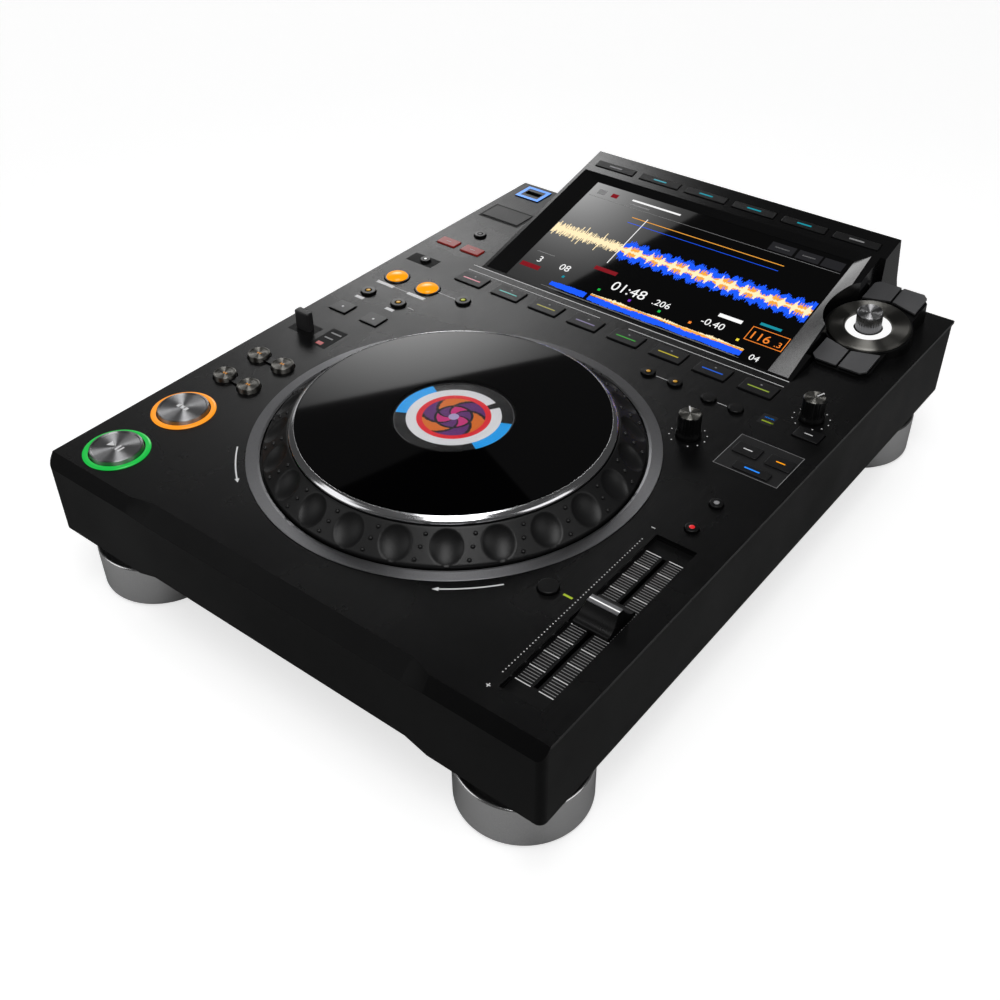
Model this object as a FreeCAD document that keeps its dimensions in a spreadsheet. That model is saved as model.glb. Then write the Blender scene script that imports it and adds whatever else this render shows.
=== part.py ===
import FreeCAD, Part
import math
import os
import Sketcher
from FreeCAD import Placement, Rotation, Vector

# A tabletop player deck: a flat black body on four round metal feet, a large sprung jog wheel,
# a tilted touch display behind it, and rows of keys, knobs and a long pitch fader around them.
# Millimetres. +X is to the right, +Y to the back, and the table is z = 0 under the middle. A place
# near a side is written from that side, so the keys and the screen follow the width.

doc = FreeCAD.newDocument("TabletopPlayer")
sheet = doc.addObject("Spreadsheet::Sheet", "Sizes")

values = {
    # body
    "body_width": 329.0, "front_face": -226.5, "rear_face": 196.5, "deck_top": 84.5,
    "body_height": 48.5, "wall": 3.0, "body_corner": 4.0, "deck_thick": 2.0, "bevel_depth": 5.3,
    "bevel_drop": 7.1, "mid_bevel_depth": 9.0, "mid_bevel_drop": 8.2, "mid_half": 87.0,
    "mid_blend": 13.0, "scoop_height": 4.3, "floor_thick": 2.0, "floor_rim": 9.0, "rim_thick": 1.6,
    "vent_length": 46.0, "vent_width": 3.4, "vent_pitch": 8.0, "vent_x": 40.0, "vent_count": 7.0,
    "vent_y": 60.0, "slip_gap": 0.3, "key_gap": 0.4, "seat_gap": 0.3,
    # feet
    "foot_radius": 33.8, "foot_x": "=body_width / 2 - 35.3", "foot_front": -192.3,
    "foot_back": 161.4, "foot_cap_top": 27.5, "foot_core_radius": 27.0, "foot_sole": 1.4,
    "foot_sole_radius": 31.0, "foot_edge": 1.5, "foot_recess": 0.8, "foot_screw_radius": 5.0,
    "foot_screw_depth": 6.0,
    # jog wheel
    "jog_x": 0.3, "jog_y": -84.0, "ring_radius": "=body_width * 0.3377", "ring_width": 7.4,
    "ring_rise": 0.5, "ring_chamfer": 0.8, "jog_radius": "=ring_radius - 8.8",
    "jog_foot_rise": 1.2, "jog_edge": 3.4, "shoulder_radius": "=ring_radius - 21.5",
    "shoulder_rise": 12.6, "groove_radius": "=ring_radius - 25.5", "groove_drop": 1.4,
    "rim_radius": "=ring_radius - 23.9", "rim_rise": 16.6, "rim_height": 2.6, "rim_bevel": 3.4,
    "rim_bevel_rise": 1.0, "jog_skin": 3.0, "dimple_ball": 9.5, "dimple_sink": 3.2,
    "dimple_count": 24.0, "dimple_radius": "=ring_radius - 14.9", "dimple_rise": 7.6,
    "window_thick": 1.4, "hub_radius": 38.0, "hub_bore": 31.5, "hub_top": 12.2, "hub_bottom": -6.0,
    "web_top": 9.5, "web_thick": 3.0, "bearing_width": 4.6, "bearing_height": 9.0,
    "post_bore": 18.0, "jog_pan_depth": 12.0, "jog_pan_thick": 2.0, "jog_pan_flange": 5.0,
    "jog_screen_radius": 32.0, "jog_screen_thick": 1.6,
    # round metal keys at the front left
    "main_key_x": "=26.9 - body_width / 2", "play_y": -199.9, "cue_y": -153.9, "glow_radius": 18.1,
    "glow_width": 3.0, "glow_rise": 0.8, "main_key_radius": 14.2, "main_key_rise": 2.8,
    "main_key_dish": 0.6, "dish_share": 0.25, "main_key_edge": 0.6,
    # search rockers
    "rocker_x": "=28.9 - body_width / 2", "search_y": -116.0, "track_y": -89.2, "rocker_half": 9.9,
    "rocker_radius": 6.6, "rocker_rise": 2.6, "rocker_depth": 4.5, "rocker_bridge": 5.0,
    "rocker_bridge_rise": 1.4, "rocker_gap": 0.7, "rocker_edge": 0.5,
    # direction lever
    "lever_x": "=18.0 - body_width / 2", "lever_y": -50.0, "lever_width": 11.4, "lever_deep": 5.0,
    "lever_rise": 9.0, "lever_pivot": 9.0, "lever_round": 1.6, "lever_gap": 3.0,
    # small keys
    "key_travel": 0.8, "flange_thick": 1.0, "flange_lip": 1.2, "key_edge": 0.4, "key_corner": 1.0,
    "jump_left": "=18.8 - body_width / 2", "jump_right": "=44.6 - body_width / 2", "jump_y": -17.8,
    "jump_width": 13.4, "jump_deep": 11.4, "flat_rise": 0.9, "beat_left": "=18.3 - body_width / 2",
    "beat_right": "=43.8 - body_width / 2", "beat_y": 6.3, "beat_radius": 4.9, "dot_rise": 1.6,
    "reloop_x": "=74.6 - body_width / 2", "reloop_y": 32.9, "loop_left": "=20.2 - body_width / 2",
    "loop_right": "=46.2 - body_width / 2", "loop_y": 31.6, "loop_radius": 8.3, "loop_rise": 3.0,
    "loop_dome": 1.4, "slip_x": "=20.1 - body_width / 2", "slip_y": 60.0, "slip_radius": 3.6,
    "mode_left": "=15.9 - body_width / 2", "mode_right": "=36.3 - body_width / 2", "mode_y": 89.4,
    "mode_width": 15.0, "mode_deep": 8.6, "stop_x": "=26.5 - body_width / 2", "stop_y": 110.0,
    "stop_radius": 4.2, "hot_first": "=61.7 - body_width / 2",
    "hot_pitch": "=(body_width - 120.6) / 7", "hot_y": 58.4, "hot_width": "=hot_pitch - 9",
    "hot_deep": 12.6, "call_left": "=body_width / 2 - 117.5",
    "call_right": "=body_width / 2 - 99.5", "call_y": 34.4,
    "memory_left": "=body_width / 2 - 76.1", "memory_right": "=body_width / 2 - 58.9",
    "memory_y": 32.2, "call_radius": 4.2, "call_rise": 1.6, "jog_mode_x": "=body_width / 2 - 15.9",
    "jog_mode_y": 34.4, "panel_key_width": 14.8, "panel_key_deep": 10.0,
    "beat_sync_x": "=body_width / 2 - 34.9", "master_x": "=body_width / 2 - 15.7", "sync_y": 2.6,
    "key_sync_x": "=body_width / 2 - 24.7", "key_sync_y": -11.6, "key_sync_width": 21.0,
    "key_sync_deep": 6.6, "tempo_x": "=body_width / 2 - 25.3", "range_y": -46.6,
    "master_tempo_y": -70.2, "tempo_radius": 3.6, "reset_x": "=body_width / 2 - 56.2",
    "reset_y": -146.4, "reset_radius": 5.2,
    # knobs
    "adjust_x": "=body_width / 2 - 67.5", "adjust_y": -4.0, "speed_x": "=body_width / 2 - 21.9",
    "speed_y": 49.6, "knob_radius": 6.4, "knob_rise": 14.4, "knob_flare": 0.7, "knob_skirt": 3.0,
    "knob_edge": 0.8, "shaft_radius": 3.0, "shaft_length": 9.0, "knob_float": 0.5,
    "knob_notches": 16.0, "knob_notch": 0.55,
    # fader
    "fader_x": "=body_width / 2 - 25.4", "fader_y": -145.9, "fader_panel_width": 22.8,
    "fader_panel_length": 124.6, "fader_sink": 3.0, "fader_slot_width": 2.2,
    "fader_slot_length": 103.0, "panel_thick": 1.6, "cap_width": 19.8, "cap_length": 22.0,
    "cap_top": 5.2, "cap_lift": 0.6, "cap_ridge": 4.4, "cap_waist": 2.6, "cap_blade": 1.2,
    "cap_blade_length": 5.0, "cap_blade_depth": 8.0,
    # display
    "screen_left": "=55.3 - body_width / 2", "screen_right": "=body_width / 2 - 47.9",
    "hinge_y": 76.0, "screen_run": 135.5, "screen_rise": 33.5, "screen_sink": 9.0,
    "screen_rear": 226.5, "rear_kink_y": 218.6, "rear_kink_z": 88.5, "rear_low": 70.5,
    "rear_under": 67.5, "rear_step": 188.7, "rear_slip": 0.3,
    "glass_left": "=71.3 - body_width / 2", "glass_right": "=body_width / 2 - 65.3",
    "glass_low": 2.6, "glass_high": 112.4, "glass_sink": 3.2, "glass_thick": 1.6,
    "bezel_left": 13.6, "bezel_right_top": 8.2, "bezel_right_low": 14.6, "bezel_top": 5.2,
    "bezel_low": 0.9, "panel_inset": 3.0, "panel_height": 2.2,
    "screen_key_first": "=77.1 - body_width / 2", "screen_key_pitch": "=(body_width - 148.5) / 5",
    "screen_key_along": 126.8, "screen_key_width": "=screen_key_pitch - 5.5",
    "screen_key_deep": 6.2, "screen_key_rise": 0.7, "screen_key_depth": 5.0,
    # rotary selector
    "dial_x": "=body_width / 2 - 34.5", "dial_y": 145.3, "dial_rise": 9.6, "dial_tilt": 8.0,
    "dial_radius": 24.5, "dial_bowl": 13.6, "bowl_depth": 2.6, "base_x": "=body_width / 2 - 32.9",
    "base_half": 18.0, "base_reach": 44.5, "base_drop": 2.6, "base_edge": 1.2, "bay_gap": 1.5,
    "dial_disc": 2.0, "browse_inner": 27.4, "browse_outer": 43.2, "browse_half": 16.8,
    "browse_gap": 1.5, "browse_rise": 2.2, "browse_travel": 0.8, "rotary_radius": 7.6,
    "rotary_rise": 9.4, "rotary_float": 0.5, "rotary_notches": 20.0, "rotary_notch": 0.5,
    "rotary_shaft": 3.0, "rotary_shaft_length": 6.0,
    # sockets at the back left of the deck
    "socket_x": "=17.2 - body_width / 2", "socket_y": 183.5, "socket_width": 20.6,
    "socket_deep": 18.0, "socket_bezel": 0.6, "usb_width": 12.6, "usb_deep": 5.2,
    "usb_depth": 13.0, "usb_tongue": 1.8, "flap_x": "=22.5 - body_width / 2", "flap_y": 145.0,
    "flap_width": 30.6, "flap_deep": 18.6, "flap_thick": 1.6, "flap_rise": 0.4, "flap_lip": 1.4,
    "card_width": 24.4, "card_slot": 2.6, "card_depth": 14.0, "card_wall": 2.0,
    # rear terminals
    "terminal_x": 0.0, "terminal_width": "=body_width - 43", "terminal_height": 30.0,
    "terminal_z": 56.2, "terminal_thick": 2.0, "inlet_x": "=52.5 - body_width / 2",
    "inlet_width": 24.4, "inlet_height": 16.4, "inlet_depth": 16.0, "inlet_wall": 2.0,
    "inlet_pin_width": 4.0, "inlet_pin_thick": 2.0, "inlet_pin_pitch": 14.0, "inlet_pin_drop": 4.0,
    "power_x": "=88.5 - body_width / 2", "power_size": 9.0, "power_rise": 3.0, "jack_first": 40.0,
    "jack_pitch": 16.0, "jack_radius": 4.2, "jack_flange": 6.0, "jack_rise": 8.0, "jack_bore": 1.8,
    "net_x": "=body_width / 2 - 76.5", "net_width": 12.0, "net_height": 9.0, "net_depth": 13.0,
    "net_shell": 1.6, "host_x": "=body_width / 2 - 56.5", "host_width": 8.6, "host_height": 7.8,
    "host_depth": 10.0, "host_tongue_width": 5.4, "host_tongue_height": 3.0,
    "lock_x": "=body_width / 2 - 36.5", "lock_width": 3.2, "lock_height": 7.2,
    # inside
    "board_x": 10.0, "board_y": 40.0, "board_width": "=body_width - 109", "board_length": 130.0,
    "board_thick": 1.6, "board_lift": 8.0, "standoff_radius": 3.0, "standoff_inset": 8.0,
    "chip_size": 24.0, "chip_height": 2.4, "supply_x": "=104.5 - body_width / 2",
    "supply_y": 140.0, "supply_width": 150.0, "supply_length": 62.0, "supply_height": 26.0,
    "screw_radius": 3.0, "screw_head": 1.8, "screw_socket": 1.2, "screw_inset": 14.0,
}
for row, (alias, value) in enumerate(values.items(), start=1):
    sheet.set("A%d" % row, alias)
    sheet.set("B%d" % row, str(value))
    sheet.setAlias("B%d" % row, alias)
doc.recompute()


# A size carries its number and the sheet expression that it comes from.
class Size:
    def __init__(self, number, text):
        self.number = number
        self.text = text

    def __add__(self, other):
        return Size(self.number + plain(other), "(%s + %s)" % (self.text, written(other)))

    def __sub__(self, other):
        return Size(self.number - plain(other), "(%s - %s)" % (self.text, written(other)))

    def __mul__(self, other):
        return Size(self.number * plain(other), "(%s * %s)" % (self.text, written(other)))

    def __truediv__(self, other):
        return Size(self.number / plain(other), "(%s / %s)" % (self.text, written(other)))

    def __neg__(self):
        return Size(-self.number, "(-1 * %s)" % self.text)


def plain(value):
    return value.number if isinstance(value, Size) else float(value)


def written(value):
    return value.text if isinstance(value, Size) else "(%s)" % value


def root(value):
    return Size(math.sqrt(value.number), "sqrt(%s)" % value.text)


def sine(angle):
    return Size(math.sin(math.radians(angle.number)), "sin(%s)" % angle.text)


def cosine(angle):
    return Size(math.cos(math.radians(angle.number)), "cos(%s)" % angle.text)


class Sizes:
    def __getattr__(self, alias):
        return Size(float(sheet.get(alias)), "Sizes.%s" % alias)


s = Sizes()
zero = Size(0.0, "0")
half_width = s.body_width / 2
case_bottom = s.deck_top - s.body_height
deck_under = s.deck_top - s.deck_thick
screen_tilt = Size(
    math.degrees(math.atan(s.screen_rise.number / s.screen_run.number)),
    "atan(%s / %s)" % (s.screen_rise.text, s.screen_run.text),
)
screen_length = root(s.screen_rise * s.screen_rise + s.screen_run * s.screen_run)
nodes = []
screen_keys = 6


def node(thing, label):
    thing.Label = label
    nodes.append(thing)
    return thing


def bind(thing, path, size):
    thing.setExpression(path, written(size))


# Stands a piece at a place, leaning back about the X axis where it has a tilt.
def place(thing, x, y, z, tilt=None):
    if tilt is not None:
        thing.Placement = Placement(Vector(), Rotation(Vector(1, 0, 0), plain(tilt)))
        bind(thing, "Placement.Rotation.Angle", tilt)
    for path, size in (("x", x), ("y", y), ("z", z)):
        bind(thing, "Placement.Base." + path, size)


def body(label, x=zero, y=zero, z=zero, tilt=None):
    made = doc.addObject("PartDesign::Body", label)
    made.Label = label
    place(made, x, y, z, tilt)
    return made


def origin(owner, role):
    return [part for part in owner.Origin.OriginFeatures if part.Role == role][0]


# A sketch on one of its body's own planes; lift moves it along that plane's normal.
def sketch(owner, role="XY_Plane", lift=zero, along=zero, tilt=None):
    made = owner.newObject("Sketcher::SketchObject", "Sketch")
    made.AttachmentSupport = (origin(owner, role), [""])
    made.MapMode = "FlatFace"
    if tilt is not None:
        made.AttachmentOffset = Placement(Vector(), Rotation(Vector(1, 0, 0), plain(tilt)))
        bind(made, "AttachmentOffset.Rotation.Angle", tilt)
        bind(made, "AttachmentOffset.Base.y", along)
    bind(made, "AttachmentOffset.Base.z", lift)
    return made


def pin(drawing, kind, item, point, size):
    index = drawing.addConstraint(Sketcher.Constraint(kind, -1, 1, item, point, plain(size)))
    if isinstance(size, Size) and size is not zero:
        bind(drawing, "Constraints[%d]" % index, size)


def outline(drawing, points):
    first = drawing.GeometryCount
    count = len(points)
    corners = [Vector(plain(x), plain(y), 0) for x, y in points]
    for i in range(count):
        drawing.addGeometry(Part.LineSegment(corners[i], corners[(i + 1) % count]), False)
    for i in range(count):
        follower = first + (i + 1) % count
        drawing.addConstraint(Sketcher.Constraint("Coincident", first + i, 2, follower, 1))
    for i, (x, y) in enumerate(points):
        if x is zero:
            drawing.addConstraint(Sketcher.Constraint("PointOnObject", first + i, 1, -2))
        else:
            pin(drawing, "DistanceX", first + i, 1, x)
        if y is zero:
            drawing.addConstraint(Sketcher.Constraint("PointOnObject", first + i, 1, -1))
        else:
            pin(drawing, "DistanceY", first + i, 1, y)


def circle(drawing, x, y, radius):
    centre = Vector(plain(x), plain(y), 0)
    item = drawing.addGeometry(Part.Circle(centre, Vector(0, 0, 1), plain(radius)), False)
    bind(drawing, "Constraints[%d]" % drawing.addConstraint(
        Sketcher.Constraint("Radius", item, plain(radius))), radius)
    if x is zero and y is zero:
        drawing.addConstraint(Sketcher.Constraint("Coincident", item, 3, -1, 1))
    else:
        pin(drawing, "DistanceX", item, 3, x)
        pin(drawing, "DistanceY", item, 3, y)


def rectangle(drawing, x, y, width, deep):
    left = x - width / 2 if x is not zero else -(width / 2)
    right = x + width / 2 if x is not zero else width / 2
    low = y - deep / 2 if y is not zero else -(deep / 2)
    high = y + deep / 2 if y is not zero else deep / 2
    outline(drawing, [(left, low), (right, low), (right, high), (left, high)])


def pad(owner, drawing, length, down=False, middle=False):
    made = owner.newObject("PartDesign::Pad", "Pad")
    made.Profile = drawing
    bind(made, "Length", length)
    made.Reversed = down
    made.Midplane = middle
    return made


# Cuts a drawing into its body: down from an upward plane, and right through with no depth.
def cut(owner, drawing, depth=None, flip=False, middle=False):
    made = owner.newObject("PartDesign::Pocket", "Pocket")
    made.Profile = drawing
    if depth is None:
        made.Type = 1
    else:
        bind(made, "Length", depth)
    made.Reversed = flip
    made.Midplane = middle
    return made


def turn(owner, points, groove=False):
    drawing = sketch(owner, "XZ_Plane")
    outline(drawing, points)
    kind = "PartDesign::Groove" if groove else "PartDesign::Revolution"
    made = owner.newObject(kind, "Turned")
    made.Profile = drawing
    made.ReferenceAxis = (drawing, ["V_Axis"])
    made.Angle = 360.0
    return made


def edges(feature, wanted):
    doc.recompute()
    names = []
    for index, edge in enumerate(feature.Shape.Edges, start=1):
        if wanted(edge):
            names.append("Edge%d" % index)
    return names


def upright(edge):
    ends = [v.Point for v in edge.Vertexes]
    if len(ends) != 2:
        return False
    run = ends[1] - ends[0]
    return run.Length > 0.2 and abs(run.z) > 0.999 * run.Length


def level(height):
    def wanted(edge):
        box = edge.BoundBox
        return abs(box.ZMin - height) < 1e-4 and abs(box.ZMax - height) < 1e-4
    return wanted


def soften(owner, feature, wanted, radius, kind="PartDesign::Fillet"):
    made = owner.newObject(kind, kind.split("::")[1])
    made.Base = (feature, edges(feature, wanted))
    bind(made, "Radius" if kind.endswith("Fillet") else "Size", radius)
    return made


def bevel(owner, feature, wanted, size):
    return soften(owner, feature, wanted, size, "PartDesign::Chamfer")


def group(label, things):
    made = doc.addObject("Part::Compound", label)
    made.Links = things
    return node(made, label)


def repeat(owner, feature, count, axis="Z_Axis"):
    made = owner.newObject("PartDesign::PolarPattern", "Round")
    made.Originals = [feature]
    made.Axis = (origin(owner, axis), [""])
    made.Angle = 360.0
    bind(made, "Occurrences", count)
    owner.Tip = made
    return made


# The deck plate's outline: its front edge is the top of the front bevel.
end_front = s.front_face + s.bevel_depth
mid_front = s.front_face + s.mid_bevel_depth
mid_outer = s.mid_half + s.mid_blend
hollow_front = s.front_face + s.wall + s.mid_bevel_depth / 2
hollow_rear = s.rear_face - s.wall
deck_outline = [
    (-half_width, end_front), (-mid_outer, end_front), (-s.mid_half, mid_front),
    (s.mid_half, mid_front), (mid_outer, end_front), (half_width, end_front),
    (half_width, s.rear_face), (-half_width, s.rear_face),
]
foot_spots = [(side, y) for side in (-s.foot_x, s.foot_x) for y in (s.foot_front, s.foot_back)]


def upperCase():
    case = body("upper_case")
    middle_y = (s.front_face + s.rear_face) / 2
    plan = sketch(case, lift=case_bottom)
    rectangle(plan, zero, middle_y, s.body_width, s.rear_face - s.front_face)
    block = pad(case, plan, s.body_height)
    block = soften(case, block, upright, s.body_corner)
    hollow = sketch(case, lift=s.deck_top)
    rectangle(hollow, zero, (hollow_front + hollow_rear) / 2, s.body_width - s.wall * 2,
              hollow_rear - hollow_front)
    cut(case, hollow)
    seat = sketch(case, lift=s.deck_top)
    spill = s.wall * 2
    outline(seat, [
        (-half_width - spill, end_front), (-mid_outer, end_front), (-s.mid_half, mid_front),
        (s.mid_half, mid_front), (mid_outer, end_front), (half_width + spill, end_front),
        (half_width + spill, s.rear_face + spill), (-half_width - spill, s.rear_face + spill),
    ])
    cut(case, seat, s.deck_thick)
    # The front edge is bevelled, wider across the middle, with a slanted facet on each side.
    def wedge(x, depth, drop):
        face = sketch(case, "YZ_Plane", lift=x)
        outline(face, [
            (s.front_face - s.wall, s.deck_top + s.wall),
            (s.front_face - s.wall, s.deck_top - drop),
            (s.front_face, s.deck_top - drop),
            (s.front_face + depth, s.deck_top),
            (s.front_face + depth, s.deck_top + s.wall),
        ])
        return face
    ends = wedge(zero, s.bevel_depth, s.bevel_drop)
    cut(case, ends, s.body_width + s.wall * 2, middle=True)
    middle = wedge(zero, s.mid_bevel_depth, s.mid_bevel_drop)
    cut(case, middle, s.mid_half * 2, middle=True)
    for side in (1, -1):
        inner = wedge(s.mid_half * side, s.mid_bevel_depth, s.mid_bevel_drop)
        outer = wedge(mid_outer * side, s.bevel_depth, s.bevel_drop)
        blend = case.newObject("PartDesign::SubtractiveLoft", "Facet")
        blend.Profile = inner
        blend.Sections = [outer]
        blend.Ruled = True
    scoop = sketch(case, "XZ_Plane", lift=-(s.front_face - s.wall))
    outline(scoop, [
        (-mid_outer, case_bottom - s.wall), (mid_outer, case_bottom - s.wall),
        (mid_outer, case_bottom), (s.mid_half, case_bottom + s.scoop_height),
        (-s.mid_half, case_bottom + s.scoop_height), (-mid_outer, case_bottom),
    ])
    cut(case, scoop, s.wall * 3)
    window = sketch(case, "XZ_Plane", lift=-(s.rear_face + s.wall))
    rectangle(window, s.terminal_x, s.terminal_z, s.terminal_width, s.terminal_height)
    cut(case, window, s.wall * 3, flip=True)
    node(case, "upper_case")


def bottomCase():
    case = body("bottom_case")
    inner_front = hollow_front + s.slip_gap
    inner_rear = hollow_rear - s.slip_gap
    middle_y = (inner_front + inner_rear) / 2
    width = s.body_width - s.wall * 2 - s.slip_gap * 2
    plan = sketch(case, lift=case_bottom)
    rectangle(plan, zero, middle_y, width, inner_rear - inner_front)
    tray = pad(case, plan, s.floor_rim)
    hollow = sketch(case, lift=case_bottom + s.floor_rim)
    rectangle(hollow, zero, middle_y, width - s.rim_thick * 2,
              inner_rear - inner_front - s.rim_thick * 2)
    cut(case, hollow, s.floor_rim - s.floor_thick)
    for side in (-1, 1):
        for slot in range(int(s.vent_count.number)):
            vent = sketch(case, lift=case_bottom + s.floor_thick)
            x = s.vent_x * side
            y = s.vent_y + s.vent_pitch * slot
            rectangle(vent, x, y, s.vent_length, s.vent_width)
            cut(case, vent, s.floor_thick)
    node(case, "bottom_case")


# Every opening in the deck plate is its key's size with the running clearance round it.
square_keys = [
    (s.jump_left, s.jump_y, s.jump_width, s.jump_deep),
    (s.jump_right, s.jump_y, s.jump_width, s.jump_deep),
    (s.mode_left, s.mode_y, s.mode_width, s.mode_deep),
    (s.mode_right, s.mode_y, s.mode_width, s.mode_deep),
    (s.jog_mode_x, s.jog_mode_y, s.panel_key_width, s.panel_key_deep),
    (s.beat_sync_x, s.sync_y, s.panel_key_width, s.panel_key_deep),
    (s.master_x, s.sync_y, s.panel_key_width, s.panel_key_deep),
    (s.key_sync_x, s.key_sync_y, s.key_sync_width, s.key_sync_deep),
    (s.flap_x, s.flap_y, s.flap_width, s.flap_deep),
]
hot_keys = [(s.hot_first + s.hot_pitch * i if i else s.hot_first) for i in range(8)]
round_keys = [
    (s.main_key_x, s.play_y, s.main_key_radius), (s.main_key_x, s.cue_y, s.main_key_radius),
    (s.beat_left, s.beat_y, s.beat_radius), (s.beat_right, s.beat_y, s.beat_radius),
    (s.reloop_x, s.reloop_y, s.beat_radius), (s.loop_left, s.loop_y, s.loop_radius),
    (s.loop_right, s.loop_y, s.loop_radius), (s.slip_x, s.slip_y, s.slip_radius),
    (s.stop_x, s.stop_y, s.stop_radius), (s.call_left, s.call_y, s.call_radius),
    (s.call_right, s.call_y, s.call_radius), (s.memory_left, s.memory_y, s.call_radius),
    (s.memory_right, s.memory_y, s.call_radius), (s.tempo_x, s.range_y, s.tempo_radius),
    (s.tempo_x, s.master_tempo_y, s.tempo_radius), (s.reset_x, s.reset_y, s.reset_radius),
    (s.adjust_x, s.adjust_y, s.shaft_radius), (s.speed_x, s.speed_y, s.shaft_radius),
]


def deckPlate():
    deck = body("deck_plate", z=deck_under)
    plan = sketch(deck)
    outline(plan, deck_outline)
    pad(deck, plan, s.deck_thick)
    well = sketch(deck, lift=s.deck_thick)
    circle(well, s.jog_x, s.jog_y, s.ring_radius - s.ring_width)
    rectangle(well, (s.screen_left + s.screen_right) / 2, (s.hinge_y + s.rear_step) / 2,
              s.screen_right - s.screen_left + s.slip_gap * 2,
              s.rear_step - s.hinge_y + s.slip_gap * 2)
    rectangle(well, s.fader_x, s.fader_y, s.fader_panel_width, s.fader_panel_length)
    rectangle(well, s.socket_x, s.socket_y, s.socket_width, s.socket_deep)
    cut(deck, well)
    squares = sketch(deck, lift=s.deck_thick)
    for x, y, width, deep in square_keys:
        rectangle(squares, x, y, width + s.key_gap * 2, deep + s.key_gap * 2)
    rectangle(squares, s.lever_x, s.lever_y, s.lever_width + s.key_gap * 2,
              s.lever_deep + s.lever_gap * 2)
    cut(deck, squares)
    hot = sketch(deck, lift=s.deck_thick)
    for x in hot_keys:
        rectangle(hot, x, s.hot_y, s.hot_width + s.key_gap * 2, s.hot_deep + s.key_gap * 2)
    cut(deck, hot)
    rounds = sketch(deck, lift=s.deck_thick)
    for x, y, radius in round_keys:
        circle(rounds, x, y, radius + s.key_gap)
    for y in (s.search_y, s.track_y):
        for side in (-1, 1):
            circle(rounds, s.rocker_x + s.rocker_half * side, y, s.rocker_radius + s.rocker_gap)
    cut(deck, rounds)
    bridges = sketch(deck, lift=s.deck_thick)
    for y in (s.search_y, s.track_y):
        rectangle(bridges, s.rocker_x, y, s.rocker_half * 2, s.rocker_bridge + s.rocker_gap * 2)
    cut(deck, bridges)
    node(deck, "deck_plate")


# Feet: a spun metal cap round a rubber core that bears on the table.
def feet():
    caps = []
    cores = []
    for index, (x, y) in enumerate(foot_spots):
        cap = body("foot_cap_%d" % index, x, y)
        inner = s.foot_core_radius + s.slip_gap
        outer = s.foot_radius
        turn(cap, [
            (inner, s.foot_sole + s.slip_gap), (outer - s.foot_edge, s.foot_sole + s.slip_gap),
            (outer, s.foot_sole + s.slip_gap + s.foot_edge), (outer, s.foot_cap_top - s.foot_edge),
            (outer - s.foot_edge, s.foot_cap_top), (inner + s.foot_edge, s.foot_cap_top),
            (inner, s.foot_cap_top - s.foot_recess),
        ])
        caps.append(cap)
        core = body("foot_core_%d" % index, x, y)
        turn(core, [
            (s.foot_screw_radius, zero), (s.foot_sole_radius, zero),
            (s.foot_sole_radius, s.foot_sole), (s.foot_core_radius, s.foot_sole),
            (s.foot_core_radius, case_bottom), (zero, case_bottom), (zero, s.foot_screw_depth),
            (s.foot_screw_radius, s.foot_screw_depth),
        ])
        cores.append(core)
    group("foot_caps", caps)
    group("foot_cores", cores)


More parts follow.
